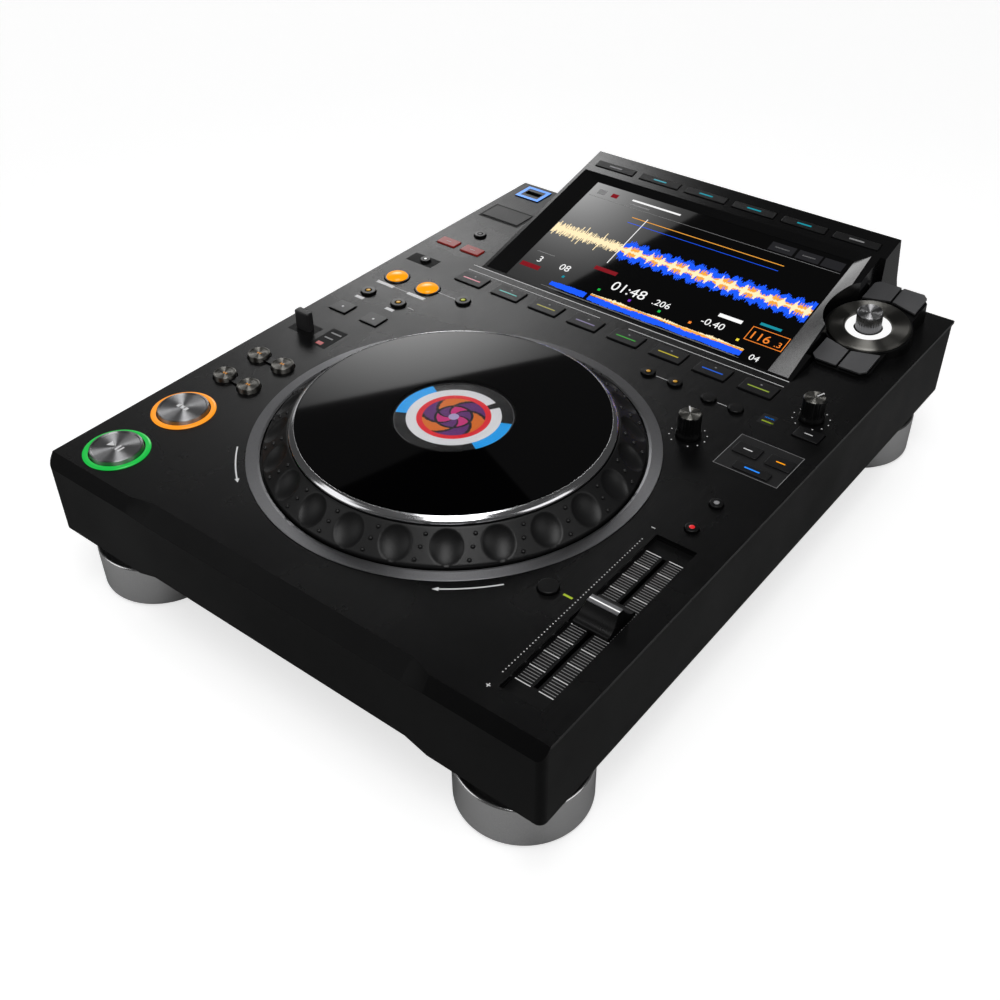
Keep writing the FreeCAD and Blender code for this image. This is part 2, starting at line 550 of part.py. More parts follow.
# The jog wheel: a sloped skirt with finger dimples, a bright rim and a flat window, carried by
# a hub on a ring bearing round a fixed hollow post that holds the small round screen.
def jog():
    x, y = s.jog_x, s.jog_y
    ring = body("jog_ring", x, y, s.deck_top)
    outer = s.ring_radius
    inner = s.ring_radius - s.ring_width
    turn(ring, [
        (inner, zero), (outer, zero), (outer - s.ring_chamfer / 2, s.ring_rise),
        (inner + s.ring_chamfer, s.ring_rise), (inner, s.ring_rise / 2),
    ])
    node(ring, "jog_ring")

    wheel = body("jog_wheel", x, y, s.deck_top)
    skin = s.jog_skin
    turn(wheel, [
        (s.hub_bore, s.hub_bottom), (s.hub_radius, s.hub_bottom),
        (s.hub_radius, s.web_top - s.web_thick),
        (s.shoulder_radius - skin * 2, s.web_top - s.web_thick),
        (s.jog_radius - skin, s.jog_foot_rise - s.deck_thick),
        (s.jog_radius, s.jog_foot_rise - s.deck_thick),
        (s.jog_radius, s.jog_edge), (s.shoulder_radius, s.shoulder_rise),
        (s.groove_radius, s.shoulder_rise - s.groove_drop),
        (s.groove_radius, s.rim_rise - s.rim_height),
        (s.groove_radius - skin, s.rim_rise - s.rim_height), (s.groove_radius - skin, s.web_top),
        (s.hub_radius, s.web_top), (s.hub_radius, s.hub_top), (s.hub_bore, s.hub_top),
    ])
    doc.recompute()
    # One ball-shaped finger dimple, cut by a half disc turned about its own upright line.
    ball = sketch(wheel, "XZ_Plane")
    centre_x = s.dimple_radius + s.dimple_sink
    centre_z = s.dimple_rise + s.dimple_sink * 2
    arc_centre = Vector(centre_x.number, centre_z.number, 0)
    arc = ball.addGeometry(Part.ArcOfCircle(
        Part.Circle(arc_centre, Vector(0, 0, 1), s.dimple_ball.number),
        -math.pi / 2, math.pi / 2), False)
    chord = ball.addGeometry(Part.LineSegment(
        arc_centre + Vector(0, s.dimple_ball.number, 0),
        arc_centre - Vector(0, s.dimple_ball.number, 0)), False)
    ball.addConstraint(Sketcher.Constraint("Coincident", arc, 2, chord, 1))
    ball.addConstraint(Sketcher.Constraint("Coincident", arc, 1, chord, 2))
    ball.addConstraint(Sketcher.Constraint("PointOnObject", arc, 3, chord))
    ball.addConstraint(Sketcher.Constraint("Vertical", chord))
    bind(ball, "Constraints[%d]" % ball.addConstraint(
        Sketcher.Constraint("Radius", arc, s.dimple_ball.number)), s.dimple_ball)
    pin(ball, "DistanceX", arc, 3, centre_x)
    pin(ball, "DistanceY", arc, 3, centre_z)
    dimple = wheel.newObject("PartDesign::Groove", "Dimple")
    dimple.Profile = ball
    dimple.ReferenceAxis = (ball, ["Edge%d" % (chord + 1)])
    dimple.Angle = 360.0
    doc.recompute()
    repeat(wheel, dimple, s.dimple_count)
    half_step = Size(180.0, "180") / s.dimple_count
    wheel.Placement = Placement(Vector(), Rotation(Vector(0, 0, 1), half_step.number))
    bind(wheel, "Placement.Rotation.Angle", half_step)
    node(wheel, "jog_wheel")

    rim = body("jog_rim", x, y, s.deck_top)
    low = s.rim_rise - s.rim_height + s.slip_gap / 3
    turn(rim, [
        (s.groove_radius - skin, low), (s.rim_radius, low), (s.rim_radius, s.rim_rise),
        (s.rim_radius - s.rim_bevel, s.rim_rise + s.rim_bevel_rise),
        (s.rim_radius - s.rim_bevel, s.rim_rise - s.window_thick),
        (s.groove_radius - skin, s.rim_rise - s.window_thick),
    ])
    node(rim, "jog_rim")

    window = body("jog_window", x, y, s.deck_top)
    window_radius = s.rim_radius - s.rim_bevel - s.slip_gap / 3
    window_low = s.rim_rise - s.window_thick + s.slip_gap / 3
    window_top = s.rim_rise + s.rim_bevel_rise / 2
    turn(window, [
        (zero, window_low), (window_radius, window_low),
        (window_radius, window_top), (zero, window_top),
    ])
    node(window, "jog_window")

    post_radius = s.hub_bore - s.slip_gap - s.bearing_width
    pan = body("jog_pan", x, y, deck_under)
    pan_radius = s.ring_radius - s.ring_width
    flange = pan_radius + s.jog_pan_flange
    floor = -s.jog_pan_depth
    thick = s.jog_pan_thick
    screen_low = window_low + s.deck_thick - s.seat_gap * 2 - s.jog_screen_thick
    turn(pan, [
        (s.post_bore, floor - thick), (pan_radius, floor - thick), (pan_radius, -thick),
        (flange, -thick), (flange, zero), (pan_radius - thick, zero), (pan_radius - thick, floor),
        (post_radius, floor), (post_radius, screen_low), (s.post_bore, screen_low),
    ])
    node(pan, "jog_pan")

    bearing = body("jog_bearing", x, y, s.deck_top)
    bearing_low = s.hub_bottom + s.slip_gap
    inner = post_radius + s.slip_gap / 6
    outer = s.hub_bore - s.slip_gap
    turn(bearing, [
        (inner, bearing_low), (outer, bearing_low), (outer, bearing_low + s.bearing_height),
        (inner, bearing_low + s.bearing_height),
    ])
    node(bearing, "jog_bearing")

    screen = body("jog_screen", x, y, deck_under)
    screen_top = screen_low + s.jog_screen_thick
    turn(screen, [
        (zero, screen_low), (s.jog_screen_radius, screen_low),
        (s.jog_screen_radius, screen_top), (zero, screen_top),
    ])
    node(screen, "jog_screen")


# A key: its cap stands above the deck, and a wider flange under the plate keeps it in.
def squareKey(label, x, y, width, deep, rise):
    key = body(label, x, y, s.deck_top)
    plan = sketch(key, lift=rise)
    rectangle(plan, zero, zero, width, deep)
    cap = pad(key, plan, rise + s.deck_thick + s.seat_gap, down=True)
    cap = soften(key, cap, upright, s.key_corner)
    doc.recompute()
    bevel(key, cap, level(rise.number), s.key_edge)
    flange = sketch(key, lift=-(s.deck_thick + s.seat_gap))
    rectangle(flange, zero, zero, width + s.flange_lip * 2, deep + s.flange_lip * 2)
    pad(key, flange, s.flange_thick, down=True)
    return key


def roundKey(label, x, y, radius, rise, dish=None, edge=s.key_edge):
    key = body(label, x, y, s.deck_top)
    low = -(s.deck_thick + s.seat_gap)
    top = [(radius, rise - edge), (radius - edge, rise)]
    if dish is None:
        top += [(zero, rise)]
    else:
        top += [(radius * s.dish_share, rise + dish), (zero, rise + dish)]
    turn(key, [
        (zero, low - s.flange_thick), (radius + s.flange_lip, low - s.flange_thick),
        (radius + s.flange_lip, low), (radius, low), *top,
    ])
    return key


def mainKeys():
    node(roundKey("play_key", s.main_key_x, s.play_y, s.main_key_radius, s.main_key_rise,
                  -s.main_key_dish, s.main_key_edge), "play_key")
    node(roundKey("cue_key", s.main_key_x, s.cue_y, s.main_key_radius, s.main_key_rise,
                  -s.main_key_dish, s.main_key_edge), "cue_key")
    rings = []
    for name, y in (("play_glow", s.play_y), ("cue_glow", s.cue_y)):
        ring = body(name, s.main_key_x, y, s.deck_top)
        inner = s.glow_radius - s.glow_width
        turn(ring, [
            (inner, zero), (s.glow_radius, zero), (s.glow_radius, s.glow_rise / 2),
            (s.glow_radius - s.glow_rise, s.glow_rise), (inner, s.glow_rise),
        ])
        rings.append(ring)
    group("glow_rings", rings)


def rockers():
    for label, y in (("search_rocker", s.search_y), ("track_rocker", s.track_y)):
        rocker = body(label, s.rocker_x, y, s.deck_top)
        plan = sketch(rocker, lift=s.rocker_bridge_rise)
        rectangle(plan, zero, zero, s.rocker_half * 2, s.rocker_bridge)
        pad(rocker, plan, s.rocker_bridge_rise + s.rocker_depth, down=True)
        for side in (-1, 1):
            button = sketch(rocker, lift=s.rocker_rise)
            circle(button, s.rocker_half * side, zero, s.rocker_radius)
            pad(rocker, button, s.rocker_rise + s.rocker_depth, down=True)
        doc.recompute()
        bevel(rocker, rocker.Tip, level(s.rocker_rise.number), s.rocker_edge)
        node(rocker, label)


def lever():
    made = body("direction_lever", s.lever_x, s.lever_y, s.deck_top)
    blade = sketch(made, "YZ_Plane")
    half = s.lever_deep / 2
    outline(blade, [
        (-half, -s.lever_pivot), (half, -s.lever_pivot), (half, s.lever_rise / 2),
        (half - s.lever_round / 2, s.lever_rise), (-(half - s.lever_round / 2), s.lever_rise),
        (-half, s.lever_rise / 2),
    ])
    pad(made, blade, s.lever_width, middle=True)
    node(made, "direction_lever")


def smallKeys():
    square = [squareKey("jump_back", *square_keys[0], s.flat_rise),
              squareKey("jump_forward", *square_keys[1], s.flat_rise)]
    group("beat_jump_keys", square)
    group("beat_loop_keys", [
        roundKey("beat_four", s.beat_left, s.beat_y, s.beat_radius, s.dot_rise),
        roundKey("beat_eight", s.beat_right, s.beat_y, s.beat_radius, s.dot_rise)])
    node(roundKey("reloop_key", s.reloop_x, s.reloop_y, s.beat_radius, s.dot_rise), "reloop_key")
    group("loop_keys", [
        roundKey("loop_in", s.loop_left, s.loop_y, s.loop_radius, s.loop_rise - s.loop_dome,
                 s.loop_dome, s.loop_dome),
        roundKey("loop_out", s.loop_right, s.loop_y, s.loop_radius, s.loop_rise - s.loop_dome,
                 s.loop_dome, s.loop_dome)])
    node(roundKey("slip_key", s.slip_x, s.slip_y, s.slip_radius, s.dot_rise), "slip_key")
    group("mode_keys", [squareKey("time_key", *square_keys[2], s.flat_rise),
                        squareKey("quantize_key", *square_keys[3], s.flat_rise)])
    node(roundKey("eject_key", s.stop_x, s.stop_y, s.stop_radius, s.dot_rise), "eject_key")
    for index, x in enumerate(hot_keys):
        label = "hot_cue_%s" % "abcdefgh"[index]
        node(squareKey(label, x, s.hot_y, s.hot_width, s.hot_deep, s.flat_rise), label)
    group("call_keys", [
        roundKey("call_back", s.call_left, s.call_y, s.call_radius, s.call_rise),
        roundKey("call_forward", s.call_right, s.call_y, s.call_radius, s.call_rise)])
    group("memory_keys", [
        roundKey("delete_key", s.memory_left, s.memory_y, s.call_radius, s.call_rise),
        roundKey("memory_key", s.memory_right, s.memory_y, s.call_radius, s.call_rise)])
    node(squareKey("jog_mode_key", *square_keys[4], s.flat_rise), "jog_mode_key")
    group("sync_keys", [squareKey("beat_sync", *square_keys[5], s.flat_rise),
                        squareKey("master_sync", *square_keys[6], s.flat_rise),
                        squareKey("key_sync", *square_keys[7], s.flat_rise)])
    group("tempo_keys", [
        roundKey("tempo_range", s.tempo_x, s.range_y, s.tempo_radius, s.dot_rise),
        roundKey("master_tempo", s.tempo_x, s.master_tempo_y, s.tempo_radius, s.dot_rise),
        roundKey("tempo_reset", s.reset_x, s.reset_y, s.reset_radius, s.call_rise)])


# A fluted knob on a shaft that passes through the plate.
def knob(label, x, y, z, radius, rise, shaft, shaft_length, float_gap, notches, notch, tilt=None):
    made = body(label, x, y, z, tilt)
    turn(made, [
        (zero, -shaft_length), (shaft, -shaft_length), (shaft, float_gap),
        (radius + s.knob_flare, float_gap), (radius + s.knob_flare, float_gap + s.knob_skirt / 2),
        (radius, float_gap + s.knob_skirt), (radius, rise - s.knob_edge),
        (radius - s.knob_edge, rise), (zero, rise),
    ])
    flute = sketch(made, lift=rise + s.knob_edge)
    circle(flute, radius + notch, zero, notch * 2)
    groove = cut(made, flute, rise + s.knob_edge - float_gap - s.knob_skirt)
    doc.recompute()
    repeat(made, groove, notches)
    return made


def knobs():
    for label, x, y in (("jog_adjust_knob", s.adjust_x, s.adjust_y),
                        ("speed_adjust_knob", s.speed_x, s.speed_y)):
        node(knob(label, x, y, s.deck_top, s.knob_radius, s.knob_rise, s.shaft_radius,
                  s.shaft_length, s.knob_float, s.knob_notches, s.knob_notch), label)


# The pitch fader: a cap with a raised ridge, on a blade through the slot of a sunk panel.
def fader():
    panel = body("fader_panel", s.fader_x, s.fader_y, s.deck_top)
    plan = sketch(panel, lift=-s.fader_sink)
    rectangle(plan, zero, zero, s.fader_panel_width - s.slip_gap, s.fader_panel_length - s.slip_gap)
    pad(panel, plan, s.panel_thick, down=True)
    rim = sketch(panel, lift=-s.deck_thick)
    wide = s.fader_panel_width + s.wall * 2
    long = s.fader_panel_length + s.wall * 2
    rectangle(rim, zero, zero, wide, long)
    rectangle(rim, zero, zero, s.fader_panel_width - s.slip_gap * 2,
              s.fader_panel_length - s.slip_gap * 2)
    pad(panel, rim, s.fader_sink + s.panel_thick - s.deck_thick, down=True)
    slot = sketch(panel, lift=-s.fader_sink)
    rectangle(slot, zero, zero, s.fader_slot_width, s.fader_slot_length)
    cut(panel, slot)
    node(panel, "fader_panel")

    cap = body("tempo_fader", s.fader_x, s.fader_y, s.deck_top)
    side = sketch(cap, "YZ_Plane")
    low = s.cap_lift - s.fader_sink
    half = s.cap_length / 2
    outline(side, [
        (-half, low), (half, low), (half, low + s.cap_waist),
        (s.cap_ridge, s.cap_waist - s.cap_lift), (s.cap_ridge / 2, s.cap_top),
        (-s.cap_ridge / 2, s.cap_top), (-s.cap_ridge, s.cap_waist - s.cap_lift),
        (-half, low + s.cap_waist),
    ])
    pad(cap, side, s.cap_width, middle=True)
    blade = sketch(cap, lift=low)
    rectangle(blade, zero, zero, s.cap_blade, s.cap_blade_length)
    pad(cap, blade, s.cap_blade_depth, down=True)
    node(cap, "tempo_fader")


# The display: a wedge housing leaning back over the rear edge, with a sunk glass and slanted
# inner bezels.
def display():
    middle_x = (s.screen_left + s.screen_right) / 2
    width = s.screen_right - s.screen_left
    housing = body("display_housing", middle_x)
    side = sketch(housing, "YZ_Plane")
    top_back = s.hinge_y + s.screen_run
    outline(side, [
        (s.hinge_y, s.deck_top - s.screen_sink), (s.hinge_y, s.deck_top),
        (top_back, s.deck_top + s.screen_rise), (s.rear_kink_y, s.rear_kink_z),
        (s.screen_rear, s.rear_low), (s.screen_rear, s.rear_under),
        (s.rear_face + s.rear_slip, s.rear_under), (s.rear_face + s.rear_slip, s.deck_top),
        (s.rear_step, s.deck_top), (s.rear_step, s.deck_top - s.screen_sink),
    ])
    pad(housing, side, width, middle=True)

    def facePlan(depth):
        return sketch(housing, lift=s.deck_top - depth * cosine(screen_tilt),
                      along=s.hinge_y + depth * sine(screen_tilt), tilt=screen_tilt)

    left, right = s.glass_left - middle_x, s.glass_right - middle_x
    mouth = facePlan(zero)
    outline(mouth, [
        (left - s.bezel_left, s.glass_low - s.bezel_low),
        (right + s.bezel_right_low, s.glass_low - s.bezel_low),
        (right + s.bezel_right_top, s.glass_high + s.bezel_top),
        (left - s.bezel_left, s.glass_high + s.bezel_top),
    ])
    floor = facePlan(s.glass_sink)
    outline(floor, [(left, s.glass_low), (right, s.glass_low), (right, s.glass_high),
                    (left, s.glass_high)])
    recess = housing.newObject("PartDesign::SubtractiveLoft", "Recess")
    recess.Profile = mouth
    recess.Sections = [floor]
    recess.Ruled = True
    well = facePlan(s.glass_sink - s.slip_gap)
    outline(well, [(left, s.glass_low), (right, s.glass_low), (right, s.glass_high),
                   (left, s.glass_high)])
    cut(housing, well, s.glass_thick + s.slip_gap + s.panel_height)
    slots = facePlan(zero)
    for i in range(screen_keys):
        x = s.screen_key_first - middle_x + s.screen_key_pitch * i
        rectangle(slots, x, s.screen_key_along, s.screen_key_width + s.key_gap * 2,
                  s.screen_key_deep + s.key_gap * 2)
    cut(housing, slots, s.screen_key_depth + s.key_travel + s.seat_gap)
    # a bay in the right side clears the rotary selector that stands beside the glass
    bay_round = sketch(housing, lift=s.deck_top + s.screen_rise)
    circle(bay_round, s.dial_x - middle_x, s.dial_y, s.dial_radius + s.base_edge + s.bay_gap)
    cut(housing, bay_round)
    bay_square = sketch(housing, lift=s.deck_top + s.screen_rise)
    bay_left = s.base_x - s.base_half - s.bay_gap / 2
    rectangle(bay_square, bay_left + s.base_half - middle_x, s.dial_y, s.base_half * 2,
              (s.base_reach + s.bay_gap) * 2)
    cut(housing, bay_square)
    node(housing, "display_housing")

    def inFace(label, x, along, depth):
        forward, up = cosine(screen_tilt), sine(screen_tilt)
        return body(label, x, s.hinge_y + along * forward + depth * up,
                    s.deck_top + along * up - depth * forward, screen_tilt)

    glass_x = (s.glass_left + s.glass_right) / 2
    glass_along = (s.glass_low + s.glass_high) / 2
    glass_width = s.glass_right - s.glass_left - s.slip_gap * 2
    glass_deep = s.glass_high - s.glass_low - s.slip_gap * 2
    glass = inFace("display_glass", glass_x, glass_along, s.glass_sink)
    plan = sketch(glass)
    rectangle(plan, zero, zero, glass_width, glass_deep)
    pad(glass, plan, s.glass_thick, down=True)
    node(glass, "display_glass")
    panel = inFace("display_panel", glass_x, glass_along, s.glass_sink + s.glass_thick)
    plan = sketch(panel)
    rectangle(plan, zero, zero, glass_width - s.panel_inset, glass_deep - s.panel_inset)
    pad(panel, plan, s.panel_height, down=True)
    node(panel, "display_panel")
    keys = []
    for i in range(screen_keys):
        x = s.screen_key_first + s.screen_key_pitch * i
        key = inFace("screen_key_%d" % i, x, s.screen_key_along, zero)
        plan = sketch(key, lift=s.screen_key_rise)
        rectangle(plan, zero, zero, s.screen_key_width, s.screen_key_deep)
        pad(key, plan, s.screen_key_rise + s.screen_key_depth, down=True)
        keys.append(key)
    group("source_keys", keys[0:2])
    group("list_keys", keys[2:4])
    group("menu_keys", keys[4:6])


# The rotary selector: a tilted base, a turned disc with a bowl, the knob in it, and four keys.
def selector():
    tilt = s.dial_tilt
    base = body("selector_base", s.dial_x, s.dial_y, s.deck_top + s.dial_rise, tilt)
    shift = s.base_x - s.dial_x
    reach = s.base_reach
    plan = sketch(base, lift=-s.base_drop)
    left, right = shift - s.base_half, shift + s.base_half
    corner = s.base_half / 3
    outline(plan, [
        (left + corner, -reach), (right - corner, -reach), (right, -reach + corner),
        (right, reach - corner), (right - corner, reach), (left + corner, reach),
        (left, reach - corner), (left, -reach + corner),
    ])
    pad(base, plan, s.dial_rise * 2, down=True)
    round_plan = sketch(base, lift=-s.dial_disc)
    circle(round_plan, zero, zero, s.dial_radius + s.base_edge)
    pad(base, round_plan, s.dial_rise * 2, down=True)
    trim = sketch(base, "YZ_Plane")
    far = reach * 2
    slope = sine(tilt) / cosine(tilt)
    deep = -(s.dial_rise - s.seat_gap / 6) / cosine(tilt)
    outline(trim, [
        (-far, deep + far * slope), (far, deep - far * slope),
        (far, deep - far * slope - s.dial_rise * 4), (-far, deep - far * slope - s.dial_rise * 4),
    ])
    cut(base, trim, s.base_half * 4, middle=True)
    turn(base, [
        (zero, s.base_drop), (s.dial_bowl, s.base_drop), (s.dial_bowl, -s.dial_disc),
        (s.rotary_radius, -s.dial_disc - s.bowl_depth / 2),
        (s.rotary_shaft + s.key_gap, -s.dial_disc - s.bowl_depth / 2),
        (s.rotary_shaft + s.key_gap, -s.dial_disc - s.rotary_shaft_length),
        (zero, -s.dial_disc - s.rotary_shaft_length),
    ], groove=True)
    node(base, "selector_base")

    ring = body("selector_disc", s.dial_x, s.dial_y, s.deck_top + s.dial_rise, tilt)
    turn(ring, [
        (s.dial_bowl, -s.dial_disc), (s.dial_radius, -s.dial_disc),
        (s.dial_radius, -s.dial_disc / 2), (s.dial_radius - s.base_edge, zero),
        (s.dial_bowl + s.base_edge, -s.dial_disc / 4), (s.dial_bowl, -s.dial_disc / 2),
    ])
    node(ring, "selector_disc")
    node(knob("rotary_knob", s.dial_x, s.dial_y, s.deck_top + s.dial_rise, s.rotary_radius,
              s.rotary_rise, s.rotary_shaft, s.dial_disc + s.rotary_shaft_length - s.seat_gap,
              -s.dial_disc + s.rotary_float, s.rotary_notches, s.rotary_notch, tilt), "rotary_knob")

    # each pair of keys is cut from one ring sector beyond the disc
    for label, side in (("browse_back_keys", 1), ("browse_front_keys", -1)):
        keys = []
        for hand in (-1, 1):
            key = body("%s_%s" % (label, "left" if hand < 0 else "right"),
                       s.dial_x, s.dial_y, s.deck_top + s.dial_rise, tilt)
            near = shift + s.browse_gap / 2 * hand
            outer = shift + s.browse_half * hand
            plan = sketch(key, lift=s.browse_rise - s.base_drop)
            inner_y = s.browse_inner * side
            outer_y = s.browse_outer * side
            slant_y = (s.browse_inner - s.browse_gap * 3) * side
            round_y = (s.browse_outer - s.browse_gap * 2) * side
            corner_x = outer - s.browse_gap * 2 * hand
            outline(plan, [(near, inner_y), (outer, slant_y), (outer, round_y),
                           (corner_x, outer_y), (near, outer_y)])
            pad(key, plan, s.browse_rise - s.browse_travel - s.seat_gap, down=True)
            keys.append(key)
        group(label, keys)


# The sockets beside the display: a plug socket in a lit frame, and a card slot under a flap.
def sockets():
    x, y = s.socket_x, s.socket_y
    frame = body("socket_frame", x, y, s.deck_top)
    plan = sketch(frame, lift=s.socket_bezel)
    rectangle(plan, zero, zero, s.socket_width - s.slip_gap * 2, s.socket_deep - s.slip_gap * 2)
    pad(frame, plan, s.usb_depth + s.card_wall, down=True)
    mouth = sketch(frame, lift=s.socket_bezel)
    rectangle(mouth, zero, zero, s.usb_width, s.usb_deep)
    cut(frame, mouth, s.usb_depth)
    tongue = sketch(frame, lift=s.socket_bezel - s.usb_depth)
    rectangle(tongue, zero, s.usb_deep / 2 - s.usb_tongue, s.usb_width - s.usb_tongue, s.usb_tongue)
    pad(frame, tongue, s.usb_depth - s.usb_tongue)
    holder = body("card_slot", s.flap_x, s.flap_y, s.deck_top)
    plan = sketch(holder, lift=-s.deck_thick)
    rectangle(plan, zero, zero, s.flap_width, s.flap_deep + s.card_wall * 2)
    pad(holder, plan, s.card_depth, down=True)
    slot = sketch(holder, lift=-s.deck_thick)
    rectangle(slot, zero, zero, s.card_width, s.card_slot)
    cut(holder, slot, s.card_depth - s.card_wall)
    group("media_sockets", [frame, holder])

    flap = body("card_flap", s.flap_x, s.flap_y, s.deck_top)
    side = sketch(flap, "YZ_Plane")
    half = s.flap_deep / 2
    top, low = s.flap_rise, s.flap_rise - s.flap_thick
    outline(side, [
        (-half, low), (half, low), (half, top - s.key_edge), (half - s.key_edge, top),
        (-half + s.flap_lip, top), (-half, top - s.key_edge),
    ])
    pad(flap, side, s.flap_width, middle=True)
    node(flap, "card_flap")


# Rear terminals on one plate: mains inlet, power button hole, four jacks, network and host.
def terminals():
    face = s.rear_face - s.terminal_thick
    plate = body("rear_terminals", z=s.terminal_z)
    inner = -face
    plan = sketch(plate, "XZ_Plane", lift=inner)
    rectangle(plan, s.terminal_x, zero, s.terminal_width - s.slip_gap * 2,
              s.terminal_height - s.slip_gap * 2)
    pad(plate, plan, s.terminal_thick, down=True)
    shells = sketch(plate, "XZ_Plane", lift=inner)
    rectangle(shells, s.inlet_x, zero, s.inlet_width + s.inlet_wall * 2,
              s.inlet_height + s.inlet_wall * 2)
    rectangle(shells, s.net_x, zero, s.net_width + s.net_shell * 2, s.net_height + s.net_shell * 2)
    rectangle(shells, s.host_x, zero, s.host_width + s.net_shell * 2,
              s.host_height + s.net_shell * 2)
    pad(plate, shells, s.inlet_depth)
    for centre, width, height, depth in (
            (s.inlet_x, s.inlet_width, s.inlet_height, s.inlet_depth),
            (s.net_x, s.net_width, s.net_height, s.net_depth),
            (s.host_x, s.host_width, s.host_height, s.host_depth)):
        mouth = sketch(plate, "XZ_Plane", lift=-s.rear_face)
        rectangle(mouth, centre, zero, width, height)
        cut(plate, mouth, depth, flip=True)
    for centre, drop in ((-s.inlet_pin_pitch / 2, -s.inlet_pin_drop / 2),
                         (s.inlet_pin_pitch / 2, -s.inlet_pin_drop / 2),
                         (zero, s.inlet_pin_drop / 2)):
        prong = sketch(plate, "XZ_Plane", lift=-(s.rear_face - s.inlet_depth))
        x = s.inlet_x + centre
        rectangle(prong, x, drop, s.inlet_pin_thick, s.inlet_pin_width)
        pad(plate, prong, s.inlet_depth - s.inlet_wall, down=True)
    tongue = sketch(plate, "XZ_Plane", lift=-(s.rear_face - s.host_depth))
    rectangle(tongue, s.host_x, zero, s.host_tongue_width, s.host_tongue_height)
    pad(plate, tongue, s.host_depth - s.net_shell, down=True)
    holes = sketch(plate, "XZ_Plane", lift=-s.rear_face)
    rectangle(holes, s.power_x, zero, s.power_size + s.key_gap * 2, s.power_size + s.key_gap * 2)
    rectangle(holes, s.lock_x, zero, s.lock_width, s.lock_height)
    cut(plate, holes, s.terminal_thick * 2, flip=True)
    for i in range(3):
        x = s.jack_first + s.jack_pitch * (i - 1) if i != 1 else s.jack_first
        flange = sketch(plate, "XZ_Plane", lift=-s.rear_face)
        circle(flange, x, zero, s.jack_flange)
        pad(plate, flange, s.jack_bore / 2, down=True)
        barrel = sketch(plate, "XZ_Plane", lift=-s.rear_face)
        circle(barrel, x, zero, s.jack_radius)
        circle(barrel, x, zero, s.jack_bore)
        pad(plate, barrel, s.jack_rise, down=True)
    node(plate, "rear_terminals")

    button = body("power_button", s.power_x, s.rear_face, s.terminal_z)
    plan = sketch(button, "XZ_Plane", lift=-s.power_rise)
    rectangle(plan, zero, zero, s.power_size, s.power_size)
    pad(button, plan, s.power_rise + s.terminal_thick + s.seat_gap + s.key_gap)
    flange = sketch(button, "XZ_Plane", lift=s.terminal_thick + s.seat_gap)
    rectangle(flange, zero, zero, s.power_size + s.flange_lip * 2, s.power_size + s.flange_lip * 2)
    pad(button, flange, s.flange_thick)
    node(button, "power_button")


# Inside: the main board on its standoffs, and the boxed mains supply.
def inside():
    floor = case_bottom + s.floor_thick
    board = body("main_board", s.board_x, s.board_y, floor + s.board_lift)
    plan = sketch(board)
    rectangle(plan, zero, zero, s.board_width, s.board_length)
    pad(board, plan, s.board_thick)
    chips = sketch(board, lift=s.board_thick)
    rectangle(chips, -s.chip_size, zero, s.chip_size, s.chip_size)
    rectangle(chips, s.chip_size, s.chip_size, s.chip_size, s.chip_size)
    pad(board, chips, s.chip_height)
    legs = sketch(board)
    far_x = s.board_width / 2 - s.standoff_inset
    far_y = s.board_length / 2 - s.standoff_inset
    for x in (-far_x, far_x):
        for y in (-far_y, far_y):
            circle(legs, x, y, s.standoff_radius)
    pad(board, legs, s.board_lift, down=True)
    node(board, "main_board")
    supply = body("power_supply", s.supply_x, s.supply_y, floor)
    plan = sketch(supply)
    rectangle(plan, zero, zero, s.supply_width, s.supply_length)
    pad(supply, plan, s.supply_height)
    node(supply, "power_supply")


# Screws through the case floor, one near each foot.
def screws():
    made = []
    for index, (x, y) in enumerate(foot_spots):
        side = 1 if index < 2 else -1
        screw = body("screw_%d" % index, x + (s.foot_radius + s.screw_inset) * side, y, case_bottom)
        turn(screw, [
            (s.screw_socket, -s.screw_head), (s.screw_radius, -s.screw_head / 2),
            (s.screw_radius, zero), (zero, zero), (zero, -s.screw_head / 2),
            (s.screw_socket, -s.screw_head / 2),
        ])
        made.append(screw)
    group("case_screws", made)


stages = (upperCase, bottomCase, deckPlate, feet, jog, mainKeys, rockers, lever, smallKeys, knobs,
          fader, display, selector, sockets, terminals, inside, screws)
for stage in stages:
    stage()
    doc.recompute()
    print(stage.__name__)

faults = [thing.Label for thing in doc.Objects if "Invalid" in thing.State or "Error" in thing.State]
for thing in nodes:
    if thing.Shape.isNull() or not thing.Shape.isValid():
        faults.append(thing.Label)
if faults:
    raise RuntimeError("failed: " + ", ".join(faults))
os.makedirs("parts", exist_ok=True)
for thing in nodes:
    thing.Shape.exportStep("parts/%s.step" % thing.Label)
print(len(nodes), "nodes")
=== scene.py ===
import math

import bmesh
import bpy
from mathutils import Matrix, Vector


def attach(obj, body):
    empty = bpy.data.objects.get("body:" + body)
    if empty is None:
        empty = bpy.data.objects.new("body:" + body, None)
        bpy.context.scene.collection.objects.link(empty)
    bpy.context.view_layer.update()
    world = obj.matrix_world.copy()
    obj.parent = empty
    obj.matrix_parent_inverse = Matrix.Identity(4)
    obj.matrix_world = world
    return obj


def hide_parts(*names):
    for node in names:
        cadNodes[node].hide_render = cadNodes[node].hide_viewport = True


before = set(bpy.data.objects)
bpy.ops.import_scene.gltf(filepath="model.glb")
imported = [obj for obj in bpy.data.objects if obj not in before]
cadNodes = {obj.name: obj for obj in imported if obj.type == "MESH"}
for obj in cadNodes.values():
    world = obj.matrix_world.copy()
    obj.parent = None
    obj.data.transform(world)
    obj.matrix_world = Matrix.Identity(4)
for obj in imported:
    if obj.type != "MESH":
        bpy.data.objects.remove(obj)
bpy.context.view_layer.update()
scene = bpy.context.scene
mm = 0.001
deckTop = 84.5
print("frame loaded")


